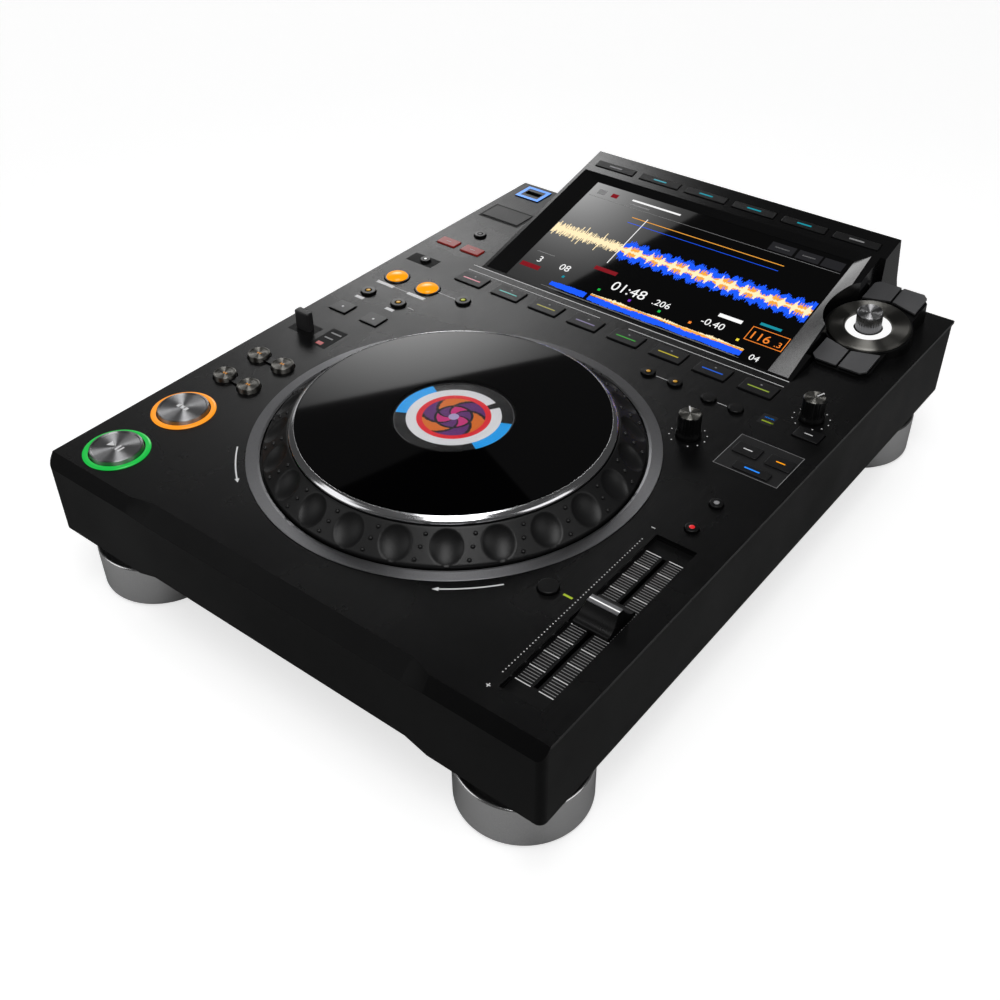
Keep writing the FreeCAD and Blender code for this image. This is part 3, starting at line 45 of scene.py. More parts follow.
# Shapes are gathered in millimetres and made into one mesh.
class Shape:
    def __init__(self):
        self.points, self.faces, self.wraps, self.tints, self.flats = [], [], [], [], []

    def add(self, points, faces, wraps=None, tint=0, place=None, flat=False):
        base = len(self.points)
        for point in points:
            point = Vector(point)
            self.points.append(place @ point if place else point)
        for number, face in enumerate(faces):
            self.faces.append([base + corner for corner in face])
            self.wraps.append(wraps[number] if wraps else [(0.0, 0.0)] * len(face))
            self.tints.append(tint)
            self.flats.append(flat)

    def mesh(self, name):
        mesh = bpy.data.meshes.new(name)
        mesh.from_pydata([tuple(point * mm) for point in self.points], [], self.faces)
        wrapLayer = mesh.uv_layers.new(name="wrap")
        spot = 0
        for polygon, wrap, tint, flat in zip(mesh.polygons, self.wraps, self.tints, self.flats):
            polygon.material_index = tint
            polygon.use_smooth = not flat
            for corner in wrap:
                wrapLayer.data[spot].uv = corner
                spot += 1
        return mesh


def linked(name, data):
    made = bpy.data.objects.new(name, data)
    scene.collection.objects.link(made)
    return made


# The mesh of an object with its modifiers or its curve worked out.
def worked(item):
    return bpy.data.meshes.new_from_object(
        item.evaluated_get(bpy.context.evaluated_depsgraph_get()))


def at(x, y, z=deckTop, lean=0.0, turn=0.0):
    return (Matrix.Translation((x, y, z)) @ Matrix.Rotation(math.radians(lean), 4, "X")
            @ Matrix.Rotation(math.radians(turn), 4, "Z"))


# Rounds the corners of an outline of (radius, height) points.
def soften(profile, radius, steps=4, closed=False):
    count = len(profile)
    made = []
    for index, (px, pz) in enumerate(profile):
        if not closed and index in (0, count - 1):
            made.append((px, pz))
            continue
        here = Vector((px, pz))
        back = Vector(profile[index - 1]) - here
        ahead = Vector(profile[(index + 1) % count]) - here
        reach = min(radius, back.length * 0.45, ahead.length * 0.45)
        if reach < 1e-4:
            made.append((px, pz))
            continue
        first = here + back.normalized() * reach
        last = here + ahead.normalized() * reach
        for step in range(steps + 1):
            t = step / steps
            made.append(tuple(first * (1 - t) ** 2 + here * 2 * t * (1 - t) + last * t * t))
    return made


# Turns a profile about its own Z axis; it runs up the outside, so its faces point outwards.
def revolve(shape, profile, place, steps=72, tint=0, closed=False, shift=None):
    rows = len(profile) if closed else len(profile) - 1
    lengths = [0.0]
    for index in range(rows):
        run = Vector(profile[(index + 1) % len(profile)]) - Vector(profile[index])
        lengths.append(lengths[-1] + run.length)
    points, keys = [], {}
    for k, (radius, height) in enumerate(profile):
        for a in range(1 if radius < 1e-6 else steps):
            angle = 2 * math.pi * a / steps
            r, z = shift(radius, height, angle) if shift else (radius, height)
            keys[(k, a)] = len(points)
            points.append((r * math.cos(angle), r * math.sin(angle), z))
    faces, wraps = [], []
    for k in range(rows):
        n = (k + 1) % len(profile)
        for a in range(steps):
            b = (a + 1) % steps
            poleLow, poleHigh = (k, 1) not in keys, (n, 1) not in keys
            if poleLow and poleHigh:
                continue
            if poleLow:
                corners = [((k, 0), a + 0.5, k), ((n, b), a + 1, k + 1), ((n, a), a, k + 1)]
            else:
                corners = [((k, a), a, k), ((k, b), a + 1, k)]
                corners += ([((n, 0), a + 0.5, k + 1)] if poleHigh
                            else [((n, b), a + 1, k + 1), ((n, a), a, k + 1)])
            faces.append([keys[c[0]] for c in corners])
            wraps.append([(c[1] / steps, lengths[c[2]] * 0.1) for c in corners])
    shape.add(points, faces, wraps, tint, place)


def roundedRectangle(width, deep, radius):
    made, steps = [], 5
    for cx, cy, start in ((1, 1, 0), (-1, 1, 90), (-1, -1, 180), (1, -1, 270)):
        for step in range(steps + 1):
            angle = math.radians(start + 90 * step / steps)
            normal = (math.cos(angle), math.sin(angle))
            made.append((cx * (width / 2 - radius) + normal[0] * radius,
                         cy * (deep / 2 - radius) + normal[1] * radius, normal))
    return made


# The side faces between rings of points, each ring with the same count.
def walls(rings, count):
    return [[k * count + a, k * count + (a + 1) % count, (k + 1) * count + (a + 1) % count,
             (k + 1) * count + a] for k in range(rings - 1) for a in range(count)]


# A cap with a rounded top edge.
def cap(shape, outline, low, high, edge, place, tint=0):
    count, steps = len(outline), 4
    rings = [(0.0, low)]
    for step in range(steps + 1):
        angle = math.pi / 2 * step / steps
        rings.append((edge * (1 - math.cos(angle)), high - edge + edge * math.sin(angle)))
    points = []
    for inset, z in rings:
        for x, y, normal in outline:
            points.append((x - normal[0] * inset, y - normal[1] * inset, z))
    faces = walls(len(rings), count) + [[count - 1 - a for a in range(count)]]
    top = (len(rings) - 1) * count
    points.append((0.0, 0.0, high))
    for a in range(count):
        faces.append([top + a, top + (a + 1) % count, len(points) - 1])
    shape.add(points, faces, None, tint, place)


def block(shape, x0, x1, y0, y1, z0, z1, place=None, tint=0):
    points = [(x, y, z) for z in (z0, z1) for y in (y0, y1) for x in (x0, x1)]
    faces = [(0, 2, 3, 1), (4, 5, 7, 6), (0, 1, 5, 4), (1, 3, 7, 5), (3, 2, 6, 7), (2, 0, 4, 6)]
    shape.add(points, faces, None, tint, place, flat=True)


# A thin three-sided plate, such as an arrow head.
def prism(shape, corners, thick, place, tint=0):
    lid = [Vector(corner) + Vector((0.0, 0.0, thick)) for corner in corners]
    faces = [(0, 2, 1), (3, 4, 5), (0, 1, 4, 3), (1, 2, 5, 4), (2, 0, 3, 5)]
    shape.add([*corners, *lid], faces, None, tint, place, flat=True)


# Flat plates from rows of x0, x1, y0, y1 and, where they differ, the number of a material.
def plates(shape, rows, z0, z1, place=None):
    for x0, x1, y0, y1, *tint in rows:
        block(shape, x0, x1, y0, y1, z0, z1, place, *tint)


# A flat curved bar between two angles, such as a printed arrow's shaft.
def arcBar(shape, inner, outer, start, end, z0, z1, place, tint=0, steps=24):
    points = []
    for step in range(steps + 1):
        angle = math.radians(start + (end - start) * step / steps)
        for radius, z in ((inner, z0), (outer, z0), (outer, z1), (inner, z1)):
            points.append((radius * math.cos(angle), radius * math.sin(angle), z))
    faces = [(0, 1, 2, 3), tuple(steps * 4 + corner for corner in (3, 2, 1, 0))]
    for step in range(steps):
        near, far = step * 4, step * 4 + 4
        for side in range(4):
            nextSide = (side + 1) % 4
            faces.append((near + side, far + side, far + nextSide, near + nextSide))
    shape.add(points, faces, None, tint, place, flat=True)


# Joins the points that two shells of one body share.
def welded(mesh):
    seams = bmesh.new()
    seams.from_mesh(mesh)
    bmesh.ops.remove_doubles(seams, verts=seams.verts, dist=2e-6)
    seams.to_mesh(mesh)
    seams.free()
    return mesh


# A piece's shading leans on its large faces, so flats stay flat beside their rounded edges.
def addPiece(name, made, body, slot, materials, *replaced):
    mesh = made.mesh(name) if isinstance(made, Shape) else made
    while len(mesh.materials) < len(materials):
        mesh.materials.append(materials[len(mesh.materials)])
    mesh.set_sharp_from_angle(angle=math.radians(40))
    piece = linked(name, mesh)
    modifier = piece.modifiers.new("flats", "WEIGHTED_NORMAL")
    modifier.mode = "FACE_AREA"
    modifier.keep_sharp = True
    shaded = worked(piece)
    piece.modifiers.remove(modifier)
    piece.data = shaded
    shaded.name = name
    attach(piece, body)
    if replaced:
        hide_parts(*replaced)
    return piece


# Geometry node trees for what repeats.
def newTree(name, sockets):
    tree = bpy.data.node_groups.new(name, "GeometryNodeTree")
    tree.interface.new_socket("Geometry", in_out="OUTPUT", socket_type="NodeSocketGeometry")
    for label, kind in sockets:
        tree.interface.new_socket(label, in_out="INPUT", socket_type="NodeSocket" + kind)
    return tree


def wire(tree, kind, links=None, **settings):
    made = tree.nodes.new(kind)
    for key, value in settings.items():
        setattr(made, key, value)
    for socket, source in (links or {}).items():
        if isinstance(source, bpy.types.NodeSocket):
            tree.links.new(source, made.inputs[socket])
        else:
            made.inputs[socket].default_value = source
    return made


def maths(tree, operation, *terms):
    return wire(tree, "ShaderNodeMath", dict(enumerate(terms)), operation=operation).outputs[0]


def closeTree(tree, points, item, rotation, scale, given):
    copies = wire(tree, "GeometryNodeInstanceOnPoints", {
        "Points": points, "Instance": item, "Rotation": rotation, "Scale": scale})
    solid = wire(tree, "GeometryNodeRealizeInstances", {"Geometry": copies.outputs[0]})
    painted = wire(tree, "GeometryNodeSetMaterial", {
        "Geometry": solid.outputs[0], "Material": given["Material"]})
    wire(tree, "NodeGroupOutput", {"Geometry": painted.outputs[0]})


# Bars in a straight row, with heights that vary between two values.
rowTree = newTree("bars in a row", [
    ("Count", "Int"), ("Start", "Vector"), ("Step", "Vector"), ("Size", "Vector"),
    ("Shortest", "Float"), ("Tallest", "Float"), ("Seed", "Int"), ("Beat", "Float"),
    ("Dip", "Float"), ("Sharp", "Float"), ("Material", "Material")])
rowGiven = wire(rowTree, "NodeGroupInput").outputs
rowLine = wire(rowTree, "GeometryNodeMeshLine", {
    "Count": rowGiven["Count"], "Start Location": rowGiven["Start"], "Offset": rowGiven["Step"]})
rowBox = wire(rowTree, "GeometryNodeMeshCube", {"Size": rowGiven["Size"]})
rowChance = wire(rowTree, "FunctionNodeRandomValue", {
    2: rowGiven["Shortest"], 3: rowGiven["Tallest"], "Seed": rowGiven["Seed"]})
rowIndex = wire(rowTree, "GeometryNodeInputIndex")
rowPhase = maths(rowTree, "MULTIPLY", rowIndex.outputs[0], rowGiven["Beat"])
rowSwing = maths(rowTree, "ABSOLUTE", maths(rowTree, "SINE", rowPhase))
rowPulse = maths(rowTree, "POWER", rowSwing, rowGiven["Sharp"])
rowFloor = maths(rowTree, "SUBTRACT", 1.0, rowGiven["Dip"])
rowShape = maths(rowTree, "MULTIPLY_ADD", rowPulse, rowGiven["Dip"], rowFloor)
rowTall = maths(rowTree, "MULTIPLY", rowShape, rowChance.outputs[1])
rowScale = wire(rowTree, "ShaderNodeCombineXYZ", {"X": 1.0, "Y": rowTall, "Z": 1.0})
closeTree(rowTree, rowLine.outputs[0], rowBox.outputs[0], (0.0, 0.0, 0.0), rowScale.outputs[0],
          rowGiven)

# Rounded bumps or dots along an arc.
arcTree = newTree("bumps on an arc", [
    ("Count", "Int"), ("Radius", "Float"), ("Height", "Float"), ("First", "Float"),
    ("Step", "Float"), ("Size", "Vector"), ("Material", "Material")])
arcGiven = wire(arcTree, "NodeGroupInput").outputs
arcLine = wire(arcTree, "GeometryNodeMeshLine", {"Count": arcGiven["Count"]})
arcIndex = wire(arcTree, "GeometryNodeInputIndex")
arcAngle = maths(arcTree, "MULTIPLY_ADD", arcIndex.outputs[0], arcGiven["Step"],
                 arcGiven["First"])
arcAcross, arcAlong = (
    maths(arcTree, "MULTIPLY", maths(arcTree, operation, arcAngle), arcGiven["Radius"])
    for operation in ("COSINE", "SINE"))
arcSpot = wire(arcTree, "ShaderNodeCombineXYZ", {
    "X": arcAcross, "Y": arcAlong, "Z": arcGiven["Height"]})
arcPoints = wire(arcTree, "GeometryNodeSetPosition", {
    "Geometry": arcLine.outputs[0], "Position": arcSpot.outputs[0]})
arcBall = wire(arcTree, "GeometryNodeMeshUVSphere", {"Segments": 12, "Rings": 8, "Radius": 1.0})
arcTurn = wire(arcTree, "ShaderNodeCombineXYZ", {"Z": arcAngle})
closeTree(arcTree, arcPoints.outputs[0], arcBall.outputs[0], arcTurn.outputs[0],
          arcGiven["Size"], arcGiven)


def toMetres(place):
    made = place.copy()
    made.translation = place.translation * mm
    return made


def grow(tree, values, place):
    carrier = linked("carrier", bpy.data.meshes.new("carrier"))
    modifier = carrier.modifiers.new("grow", "NODES")
    modifier.node_group = tree
    for item in tree.interface.items_tree:
        if item.in_out == "INPUT" and item.name in values:
            modifier[item.identifier] = values[item.name]
    mesh = worked(carrier)
    bpy.data.objects.remove(carrier)
    mesh.transform(toMetres(place))
    return mesh


def barRow(material, count, start, step, size, place, shortest=1.0, tallest=1.0, seed=1,
           beat=0.0, dip=0.0, sharp=1.0):
    mesh = grow(rowTree, {
        "Count": count, "Start": Vector(start) * mm, "Step": Vector(step) * mm,
        "Size": Vector(size) * mm, "Shortest": shortest, "Tallest": tallest, "Seed": seed,
        "Beat": beat, "Dip": dip, "Sharp": sharp, "Material": material}, place)
    return mesh, material


def bumpArc(material, count, radius, height, first, step, size, place):
    mesh = grow(arcTree, {
        "Count": count, "Radius": radius * mm, "Height": height * mm,
        "First": math.radians(first), "Step": math.radians(step), "Size": Vector(size) * mm,
        "Material": material}, place)
    for polygon in mesh.polygons:
        polygon.use_smooth = True
    return mesh, material


# Joins meshes into one, with one material each.
def joined(name, parts):
    gathered = bmesh.new()
    materials = []
    for mesh, material in parts:
        if material not in materials:
            materials.append(material)
        before = len(gathered.faces)
        gathered.from_mesh(mesh)
        gathered.faces.ensure_lookup_table()
        for index in range(before, len(gathered.faces)):
            gathered.faces[index].material_index = materials.index(material)
    mesh = bpy.data.meshes.new(name)
    gathered.to_mesh(mesh)
    gathered.free()
    return mesh, materials


def digits(material, text, size, x, y, z, place):
    curve = bpy.data.curves.new("digits", "FONT")
    curve.body = text
    curve.size = size * mm
    curve.extrude = 0.02 * mm
    carrier = linked("digits", curve)
    mesh = worked(carrier)
    bpy.data.objects.remove(carrier)
    mesh.transform(toMetres(place @ Matrix.Translation((x, y, z))))
    return mesh, material


# Shader groups: each gives a mask and a normal that change over the surface.
def newPattern(name, stretch):
    group = bpy.data.node_groups.new(name, "ShaderNodeTree")
    for label in ("Scale", "Depth"):
        group.interface.new_socket(label, in_out="INPUT", socket_type="NodeSocketFloat")
    group.interface.new_socket("Mask", in_out="OUTPUT", socket_type="NodeSocketFloat")
    group.interface.new_socket("Cloud", in_out="OUTPUT", socket_type="NodeSocketFloat")
    group.interface.new_socket("Normal", in_out="OUTPUT", socket_type="NodeSocketVector")
    given = wire(group, "NodeGroupInput").outputs
    where = wire(group, "ShaderNodeTexCoord").outputs["Object"]
    stretched = wire(group, "ShaderNodeMapping", {"Vector": where, "Scale": stretch})
    fine = wire(group, "ShaderNodeTexNoise", {
        "Vector": stretched.outputs[0], "Scale": given["Scale"], "Detail": 4.0,
        "Roughness": 0.6})
    cloud = wire(group, "ShaderNodeTexNoise", {"Vector": where, "Scale": 14.0, "Detail": 5.0})
    relief = wire(group, "ShaderNodeBump", {
        "Strength": given["Depth"], "Distance": 0.0002, "Height": fine.outputs["Fac"]})
    wire(group, "NodeGroupOutput", {
        "Mask": fine.outputs["Fac"], "Cloud": cloud.outputs["Fac"],
        "Normal": relief.outputs["Normal"]})
    return group


grain = newPattern("moulded grain", (1.0, 1.0, 1.0))
brushing = newPattern("brushing along the deck", (1.0, 0.02, 1.0))
sideBrushing = newPattern("brushing across the housing", (0.02, 1.0, 1.0))


def newMaterial(name):
    material = bpy.data.materials.new(name)
    material.use_nodes = True
    return material, material.node_tree, material.node_tree.nodes["Principled BSDF"]


def setAll(shader, values):
    for label, value in values.items():
        shader.inputs[label].default_value = value


def finish(name, tone, roughness, metallic=0.0, pattern=grain, scale=1500.0, depth=0.12,
           spread=0.18, uneven=0.15, spun=0.0, glow=None, shine=0.5):
    material, tree, shader = newMaterial(name)
    made = wire(tree, "ShaderNodeGroup", node_tree=pattern)
    setAll(made, {"Scale": scale, "Depth": depth})
    dark = [channel * (1 - spread) for channel in tone]
    light = [min(1.0, channel * (1 + spread)) for channel in tone]
    blend = wire(tree, "ShaderNodeMix", data_type="RGBA")
    blend.inputs[6].default_value = (*dark, 1.0)
    blend.inputs[7].default_value = (*light, 1.0)
    tree.links.new(made.outputs["Mask"], blend.inputs[0])
    tree.links.new(blend.outputs[2], shader.inputs["Base Color"])
    rub = wire(tree, "ShaderNodeMapRange", {
        "Value": made.outputs["Cloud"], "From Min": 0.3, "From Max": 0.7,
        "To Min": roughness * (1 - uneven), "To Max": roughness * (1 + uneven)})
    tree.links.new(rub.outputs[0], shader.inputs["Roughness"])
    tree.links.new(made.outputs["Normal"], shader.inputs["Normal"])
    setAll(shader, {"Metallic": metallic, "Specular IOR Level": shine})
    if spun:
        setAll(shader, {"Anisotropic": spun, "Anisotropic Rotation": 0.25})
        along = wire(tree, "ShaderNodeTangent", direction_type="UV_MAP", uv_map="wrap")
        tree.links.new(along.outputs[0], shader.inputs["Tangent"])
    if glow:
        setAll(shader, {"Emission Color": (*glow[0], 1.0), "Emission Strength": glow[1]})
    return material


def lit(name, colour, strength=1.0):
    return finish(name, [channel * 0.25 for channel in colour], 0.16, glow=(colour, strength),
                  spread=0.1, depth=0.02)


brushedBlack = finish("brushed black plate", (0.003, 0.003, 0.0032), 0.27, 0.0, brushing,
                      1800.0, 0.4, 0.9, shine=0.3)
housingBlack = finish("brushed black housing", (0.0045, 0.0045, 0.0048), 0.17, 0.0, sideBrushing,
                      2600.0, 0.08, 0.5, shine=0.4)
caseBlack = finish("satin black case", (0.0028, 0.0028, 0.003), 0.4, depth=0.2, shine=0.12)
chassisBlack = finish("painted chassis", (0.004, 0.004, 0.0043), 0.5, depth=0.2, shine=0.15)
keyBlack = finish("key plastic", (0.0065, 0.0065, 0.007), 0.36, scale=2200.0, depth=0.25,
                  shine=0.35)
softBlack = finish("knob plastic", (0.004, 0.004, 0.0042), 0.28, depth=0.12, shine=0.35)
jogRubber = finish("jog rubber", (0.0085, 0.0085, 0.0088), 0.42, scale=2600.0, depth=0.2,
                   shine=0.4)
footRubber = finish("foot rubber", (0.01, 0.01, 0.01), 0.8, scale=1200.0, depth=0.4)
spunSilver = finish("spun silver", (0.86, 0.86, 0.87), 0.22, 1.0, spun=0.6, depth=0.05)
spunCap = finish("spun key cap", (0.45, 0.45, 0.46), 0.4, 1.0, spun=1.0, depth=0.02)
spunDark = finish("spun dark metal", (0.21, 0.205, 0.19), 0.4, 1.0, spun=1.0, depth=0.02)
satinGrey = finish("satin grey metal", (0.27, 0.27, 0.28), 0.36, 1.0, spun=0.85, depth=0.06)
polishedDark = finish("polished dark metal", (0.13, 0.13, 0.135), 0.16, 1.0, depth=0.02)
keyGrey = finish("grey key metal", (0.3, 0.3, 0.31), 0.4, 0.9, scale=2600.0, depth=0.3)
brightRim = finish("bright rim", (0.88, 0.88, 0.9), 0.14, 1.0, depth=0.0, spread=0.05)
glossBlack = finish("gloss black", (0.001, 0.001, 0.0012), 0.03, depth=0.0, spread=0.1,
                    uneven=0.1)
socketMetal = finish("socket metal", (0.35, 0.35, 0.36), 0.35, 0.9, depth=0.15)
boardGreen = finish("board", (0.02, 0.12, 0.05), 0.5, scale=900.0, depth=0.3)
bearingSteel = finish("bearing steel", (0.55, 0.55, 0.57), 0.25, 1.0, depth=0.05)
# Print colours also glow a little: a painted brightness on ink, which is no lamp. Where dim
# printing marks the screens, its glow is the screens' own light.
printing = finish("pale print with painted glow", (0.55, 0.55, 0.56), 0.5, depth=0.05, spread=0.08,
                  glow=((1.0, 1.0, 1.0), 0.22))
dimPrinting = finish("dim printing", (0.22, 0.22, 0.225), 0.5, depth=0.05, spread=0.08,
                     glow=((1.0, 1.0, 1.0), 0.07))
darkPocket = finish("dark pocket", (0.002, 0.002, 0.002), 0.5, depth=0.1, shine=0.2)
labelGrey = finish("grey label field", (0.012, 0.012, 0.0125), 0.4, depth=0.1, shine=0.35)
capGrey = finish("lever cap", (0.03, 0.03, 0.031), 0.35, depth=0.1)

greenGlow = lit("green glow", (0.012, 0.46, 0.06), 0.95)
orangeGlow = lit("orange glow", (0.95, 0.32, 0.02), 0.95)
amberGlow = lit("amber key glow", (1.0, 0.36, 0.004), 0.95)
redGlow = lit("red glow", (0.75, 0.02, 0.025), 0.8)
blueGlow = lit("blue glow", (0.02, 0.25, 0.95), 0.9)
cyanGlow = lit("cyan glow", (0.01, 0.33, 0.42), 0.7)
whiteGlow = lit("white glow", (0.9, 0.9, 0.9), 0.95)
limeGlow = lit("lime glow", (0.38, 0.5, 0.04), 0.8)
print("finishes made")

# CAD pieces that keep their shape get their finish.
nodeFinish = {
    "upper_case": caseBlack, "bottom_case": chassisBlack, "deck_plate": brushedBlack,
    "foot_cores": footRubber, "jog_pan": darkPocket, "jog_bearing": bearingSteel,
    "display_housing": housingBlack, "display_glass": glossBlack, "display_panel": darkPocket,
    "fader_panel": softBlack, "selector_base": softBlack, "media_sockets": softBlack,
    "card_flap": keyBlack, "rear_terminals": chassisBlack, "power_button": keyBlack,
    "main_board": boardGreen, "power_supply": socketMetal, "case_screws": bearingSteel,
    "browse_back_keys": keyGrey, "browse_front_keys": keyGrey,
}
for name, material in nodeFinish.items():
    for holder in cadNodes[name].material_slots:
        holder.material = material

# Feet: spun silver caps.
foot = {"x": 129.2, "front": -192.3, "back": 161.4, "radius": 33.8, "inner": 27.3, "low": 1.7,
        "top": 27.5, "edge": 1.8}
feet = Shape()
for side in (-1, 1):
    for y in (foot["front"], foot["back"]):
        outline = soften([
            (foot["inner"], foot["low"]), (foot["radius"], foot["low"]),
            (foot["radius"], foot["top"]), (foot["inner"], foot["top"])],
            foot["edge"], 6, closed=True)
        revolve(feet, outline, at(foot["x"] * side, y, 0.0), 144, closed=True)
addPiece("foot_caps_spun", feet, "housing", "spun_silver", [spunSilver], "foot_caps")

# Jog wheel.
jog = {"x": 0.3, "y": -84.0, "ringOuter": 111.1, "ringInner": 103.7, "outer": 102.3, "edge": 1.4,
       "shoulder": 88.2, "rise": 13.5, "dimples": 24, "dimpleAcross": 8.0, "dimpleAlong": 8.9,
       "dimpleDepth": 2.6, "dimpleRadius": 95.3, "screen": 33.0, "hub": 31.5, "web": 38.0,
       "window": 83.7}
jogPlace = at(jog["x"], jog["y"])
slopeRun = jog["outer"] - jog["shoulder"]
slopeRise = jog["rise"] - jog["edge"]
slopeLength = math.hypot(slopeRun, slopeRise)

ring = Shape()
revolve(ring, soften([
    (jog["ringInner"], 0.0), (jog["ringOuter"], 0.0), (jog["ringOuter"], 0.5),
    (jog["ringInner"] + 1.3, 0.5), (jog["ringInner"], 0.1)], 0.2, 3, closed=True), jogPlace, 360,
    closed=True)
addPiece("jog_ring_satin", ring, "housing", "satin_grey", [satinGrey],
         "jog_ring")


# Sinks the skirt at each finger dimple, square to its slope.
def dimpled(radius, height, angle):
    along = (jog["outer"] - radius) / slopeRun * slopeLength
    if not jog["shoulder"] < radius < jog["outer"] or height < jog["edge"] - 0.01:
        return radius, height
    pitch = 2 * math.pi / jog["dimples"]
    across = ((angle / pitch) % 1.0 - 0.5) * pitch * radius
    centre = (jog["outer"] - jog["dimpleRadius"]) / slopeRun * slopeLength
    spread = (across / jog["dimpleAcross"]) ** 2 + ((along - centre) / jog["dimpleAlong"]) ** 2
    depth = jog["dimpleDepth"] * max(0.0, 1 - spread) ** 0.8 if spread < 1 else 0.0
    return (radius - depth * slopeRise / slopeLength, height - depth * slopeRun / slopeLength)


slope = [(jog["outer"] - slopeRun * step / 32, jog["edge"] + slopeRise * step / 32)
         for step in range(33)]
skirt = Shape()
revolve(skirt, [
    (jog["hub"], -6.0), (jog["web"], -6.0), (jog["web"], 6.5), (83.6, 6.5), (99.3, -0.8),
    (jog["outer"] - 0.3, -0.8), (jog["outer"], -0.5), (jog["outer"], jog["edge"] - 0.3),
    *slope[1:-1], (88.1, 13.55), (87.8, 13.65), (87.4, 13.6), (87.1, 13.2), (86.8, 12.6),
    (86.7, 13.9), (82.6, 13.9), (82.6, 9.5), (jog["web"], 9.5), (jog["web"], 12.2),
    (jog["hub"], 12.2)], jogPlace, jog["dimples"] * 34, closed=True, shift=dimpled)
bumps = [bumpArc(jogRubber, jog["dimples"], radius, jog["edge"] + slopeRise * (
    jog["outer"] - radius) / slopeRun, first, 360.0 / jog["dimples"], (1.25, 1.25, 0.95), jogPlace)
    for radius, first in ((90.6, 1.2), (95.4, 0.0), (100.2, -1.3))]
skirtMesh, skirtMaterials = joined("jog skirt", [(skirt.mesh("skirt"), jogRubber)] + bumps)
addPiece("jog_skirt", skirtMesh, "jog", "jog_rubber", skirtMaterials, "jog_wheel")

rim = Shape()
revolve(rim, soften([
    (82.6, 14.1), (87.0, 14.1), (87.0, 15.1), (86.3, 15.9), (84.9, 17.0), (84.0, 17.4),
    (83.85, 17.3), (83.85, 15.2), (82.6, 15.2)], 0.3, 4, closed=True), jogPlace, 360, closed=True)
addPiece("jog_rim_bright", rim, "jog", "bright_rim", [brightRim], "jog_rim")

clearGlass, _, glassShader = newMaterial("clear window")
setAll(glassShader, {"Base Color": (1.0, 1.0, 1.0, 1.0), "Roughness": 0.0,
                     "Transmission Weight": 1.0, "IOR": 1.45})
window = Shape()
low, high = 15.3, 17.1
revolve(window, [(0.0, low), (jog["screen"], low)], jogPlace, 180, 1)
revolve(window, [(jog["screen"], high), (0.0, high)], jogPlace, 180, 1)
revolve(window, [(jog["screen"], low), (jog["window"] - 0.1, low), (jog["window"], low + 0.1),
                 (jog["window"], high - 0.1), (jog["window"] - 0.1, high),
                 (jog["screen"], high)], jogPlace, 180, 0)
addPiece("jog_window_gloss", welded(window.mesh("jog window")), "jog", "gloss_black",
         [glossBlack, clearGlass], "jog_window")

# The small round screen: coloured zones of a disc.
picture = {"low": 97.6, "top": 99.2, "radius": 32.0, "art": 16.8, "red": 19.9, "white": 25.4,
           "zones": 31.5}
zoneLights = [lit("screen " + name, colour, strength) for name, colour, strength in (
    ("black", (0.004, 0.004, 0.005), 0.4), ("blue", (0.01, 0.3, 0.75), 0.95),
    ("white", (0.62, 0.62, 0.64), 0.95), ("red", (0.62, 0.01, 0.02), 0.95),
    ("purple", (0.11, 0.015, 0.15), 0.8), ("pink", (0.5, 0.015, 0.16), 0.9),
    ("orange", (0.6, 0.13, 0.012), 0.9), ("edge", (0.05, 0.05, 0.052), 0.8),
    ("lilac", (0.35, 0.3, 0.5), 0.9))]


def zoneOf(radius, angle):
    if radius > picture["zones"]:
        return 7
    if radius > picture["white"]:
        return 1 if 150 < angle < 209 or angle > 331 or angle < 24.5 else 0
    if radius > picture["red"]:
        return 0 if 57 < angle < 68 else 2
    if radius > picture["art"]:
        return 3
    petal = math.sin(math.radians(angle * 3) + radius * 0.28)
    if radius < 2.6:
        return 8
    if abs(petal) < 0.28 or 9.1 < radius < 10.4:
        return 0
    if petal > 0.28:
        return 5 if radius < 9.1 else 4
    return 6 if radius > 10.4 else 4


disc = Shape()
sectors = 160
levels = [0.7 * step for step in range(25)]
levels += [18.3, picture["red"], 22.6, picture["white"], 28.4, picture["zones"], picture["radius"]]
for inner, outer in zip(levels, levels[1:]):
    for a in range(sectors):
        first, last = (2 * math.pi * (a + step) / sectors for step in (0, 1))
        middle = math.degrees((first + last) / 2)
        spots = [(outer, first), (outer, last), (inner, last), (inner, first)]
        points = [(radius * math.cos(angle), radius * math.sin(angle), 0.0)
                  for radius, angle in spots[:4 if inner > 0 else 3]]
        disc.add(points, [list(range(len(points)))], None, zoneOf((inner + outer) / 2, middle),
                 at(jog["x"], jog["y"], picture["top"]), flat=True)
revolve(disc, [(0.0, picture["low"]), (picture["radius"], picture["low"]),
               (picture["radius"], picture["top"])], at(jog["x"], jog["y"], 0.0), sectors, 0)
addPiece("jog_screen_picture", welded(disc.mesh("jog screen")), "housing", "screen_glow",
         zoneLights, "jog_screen")
print("jog wheel made")

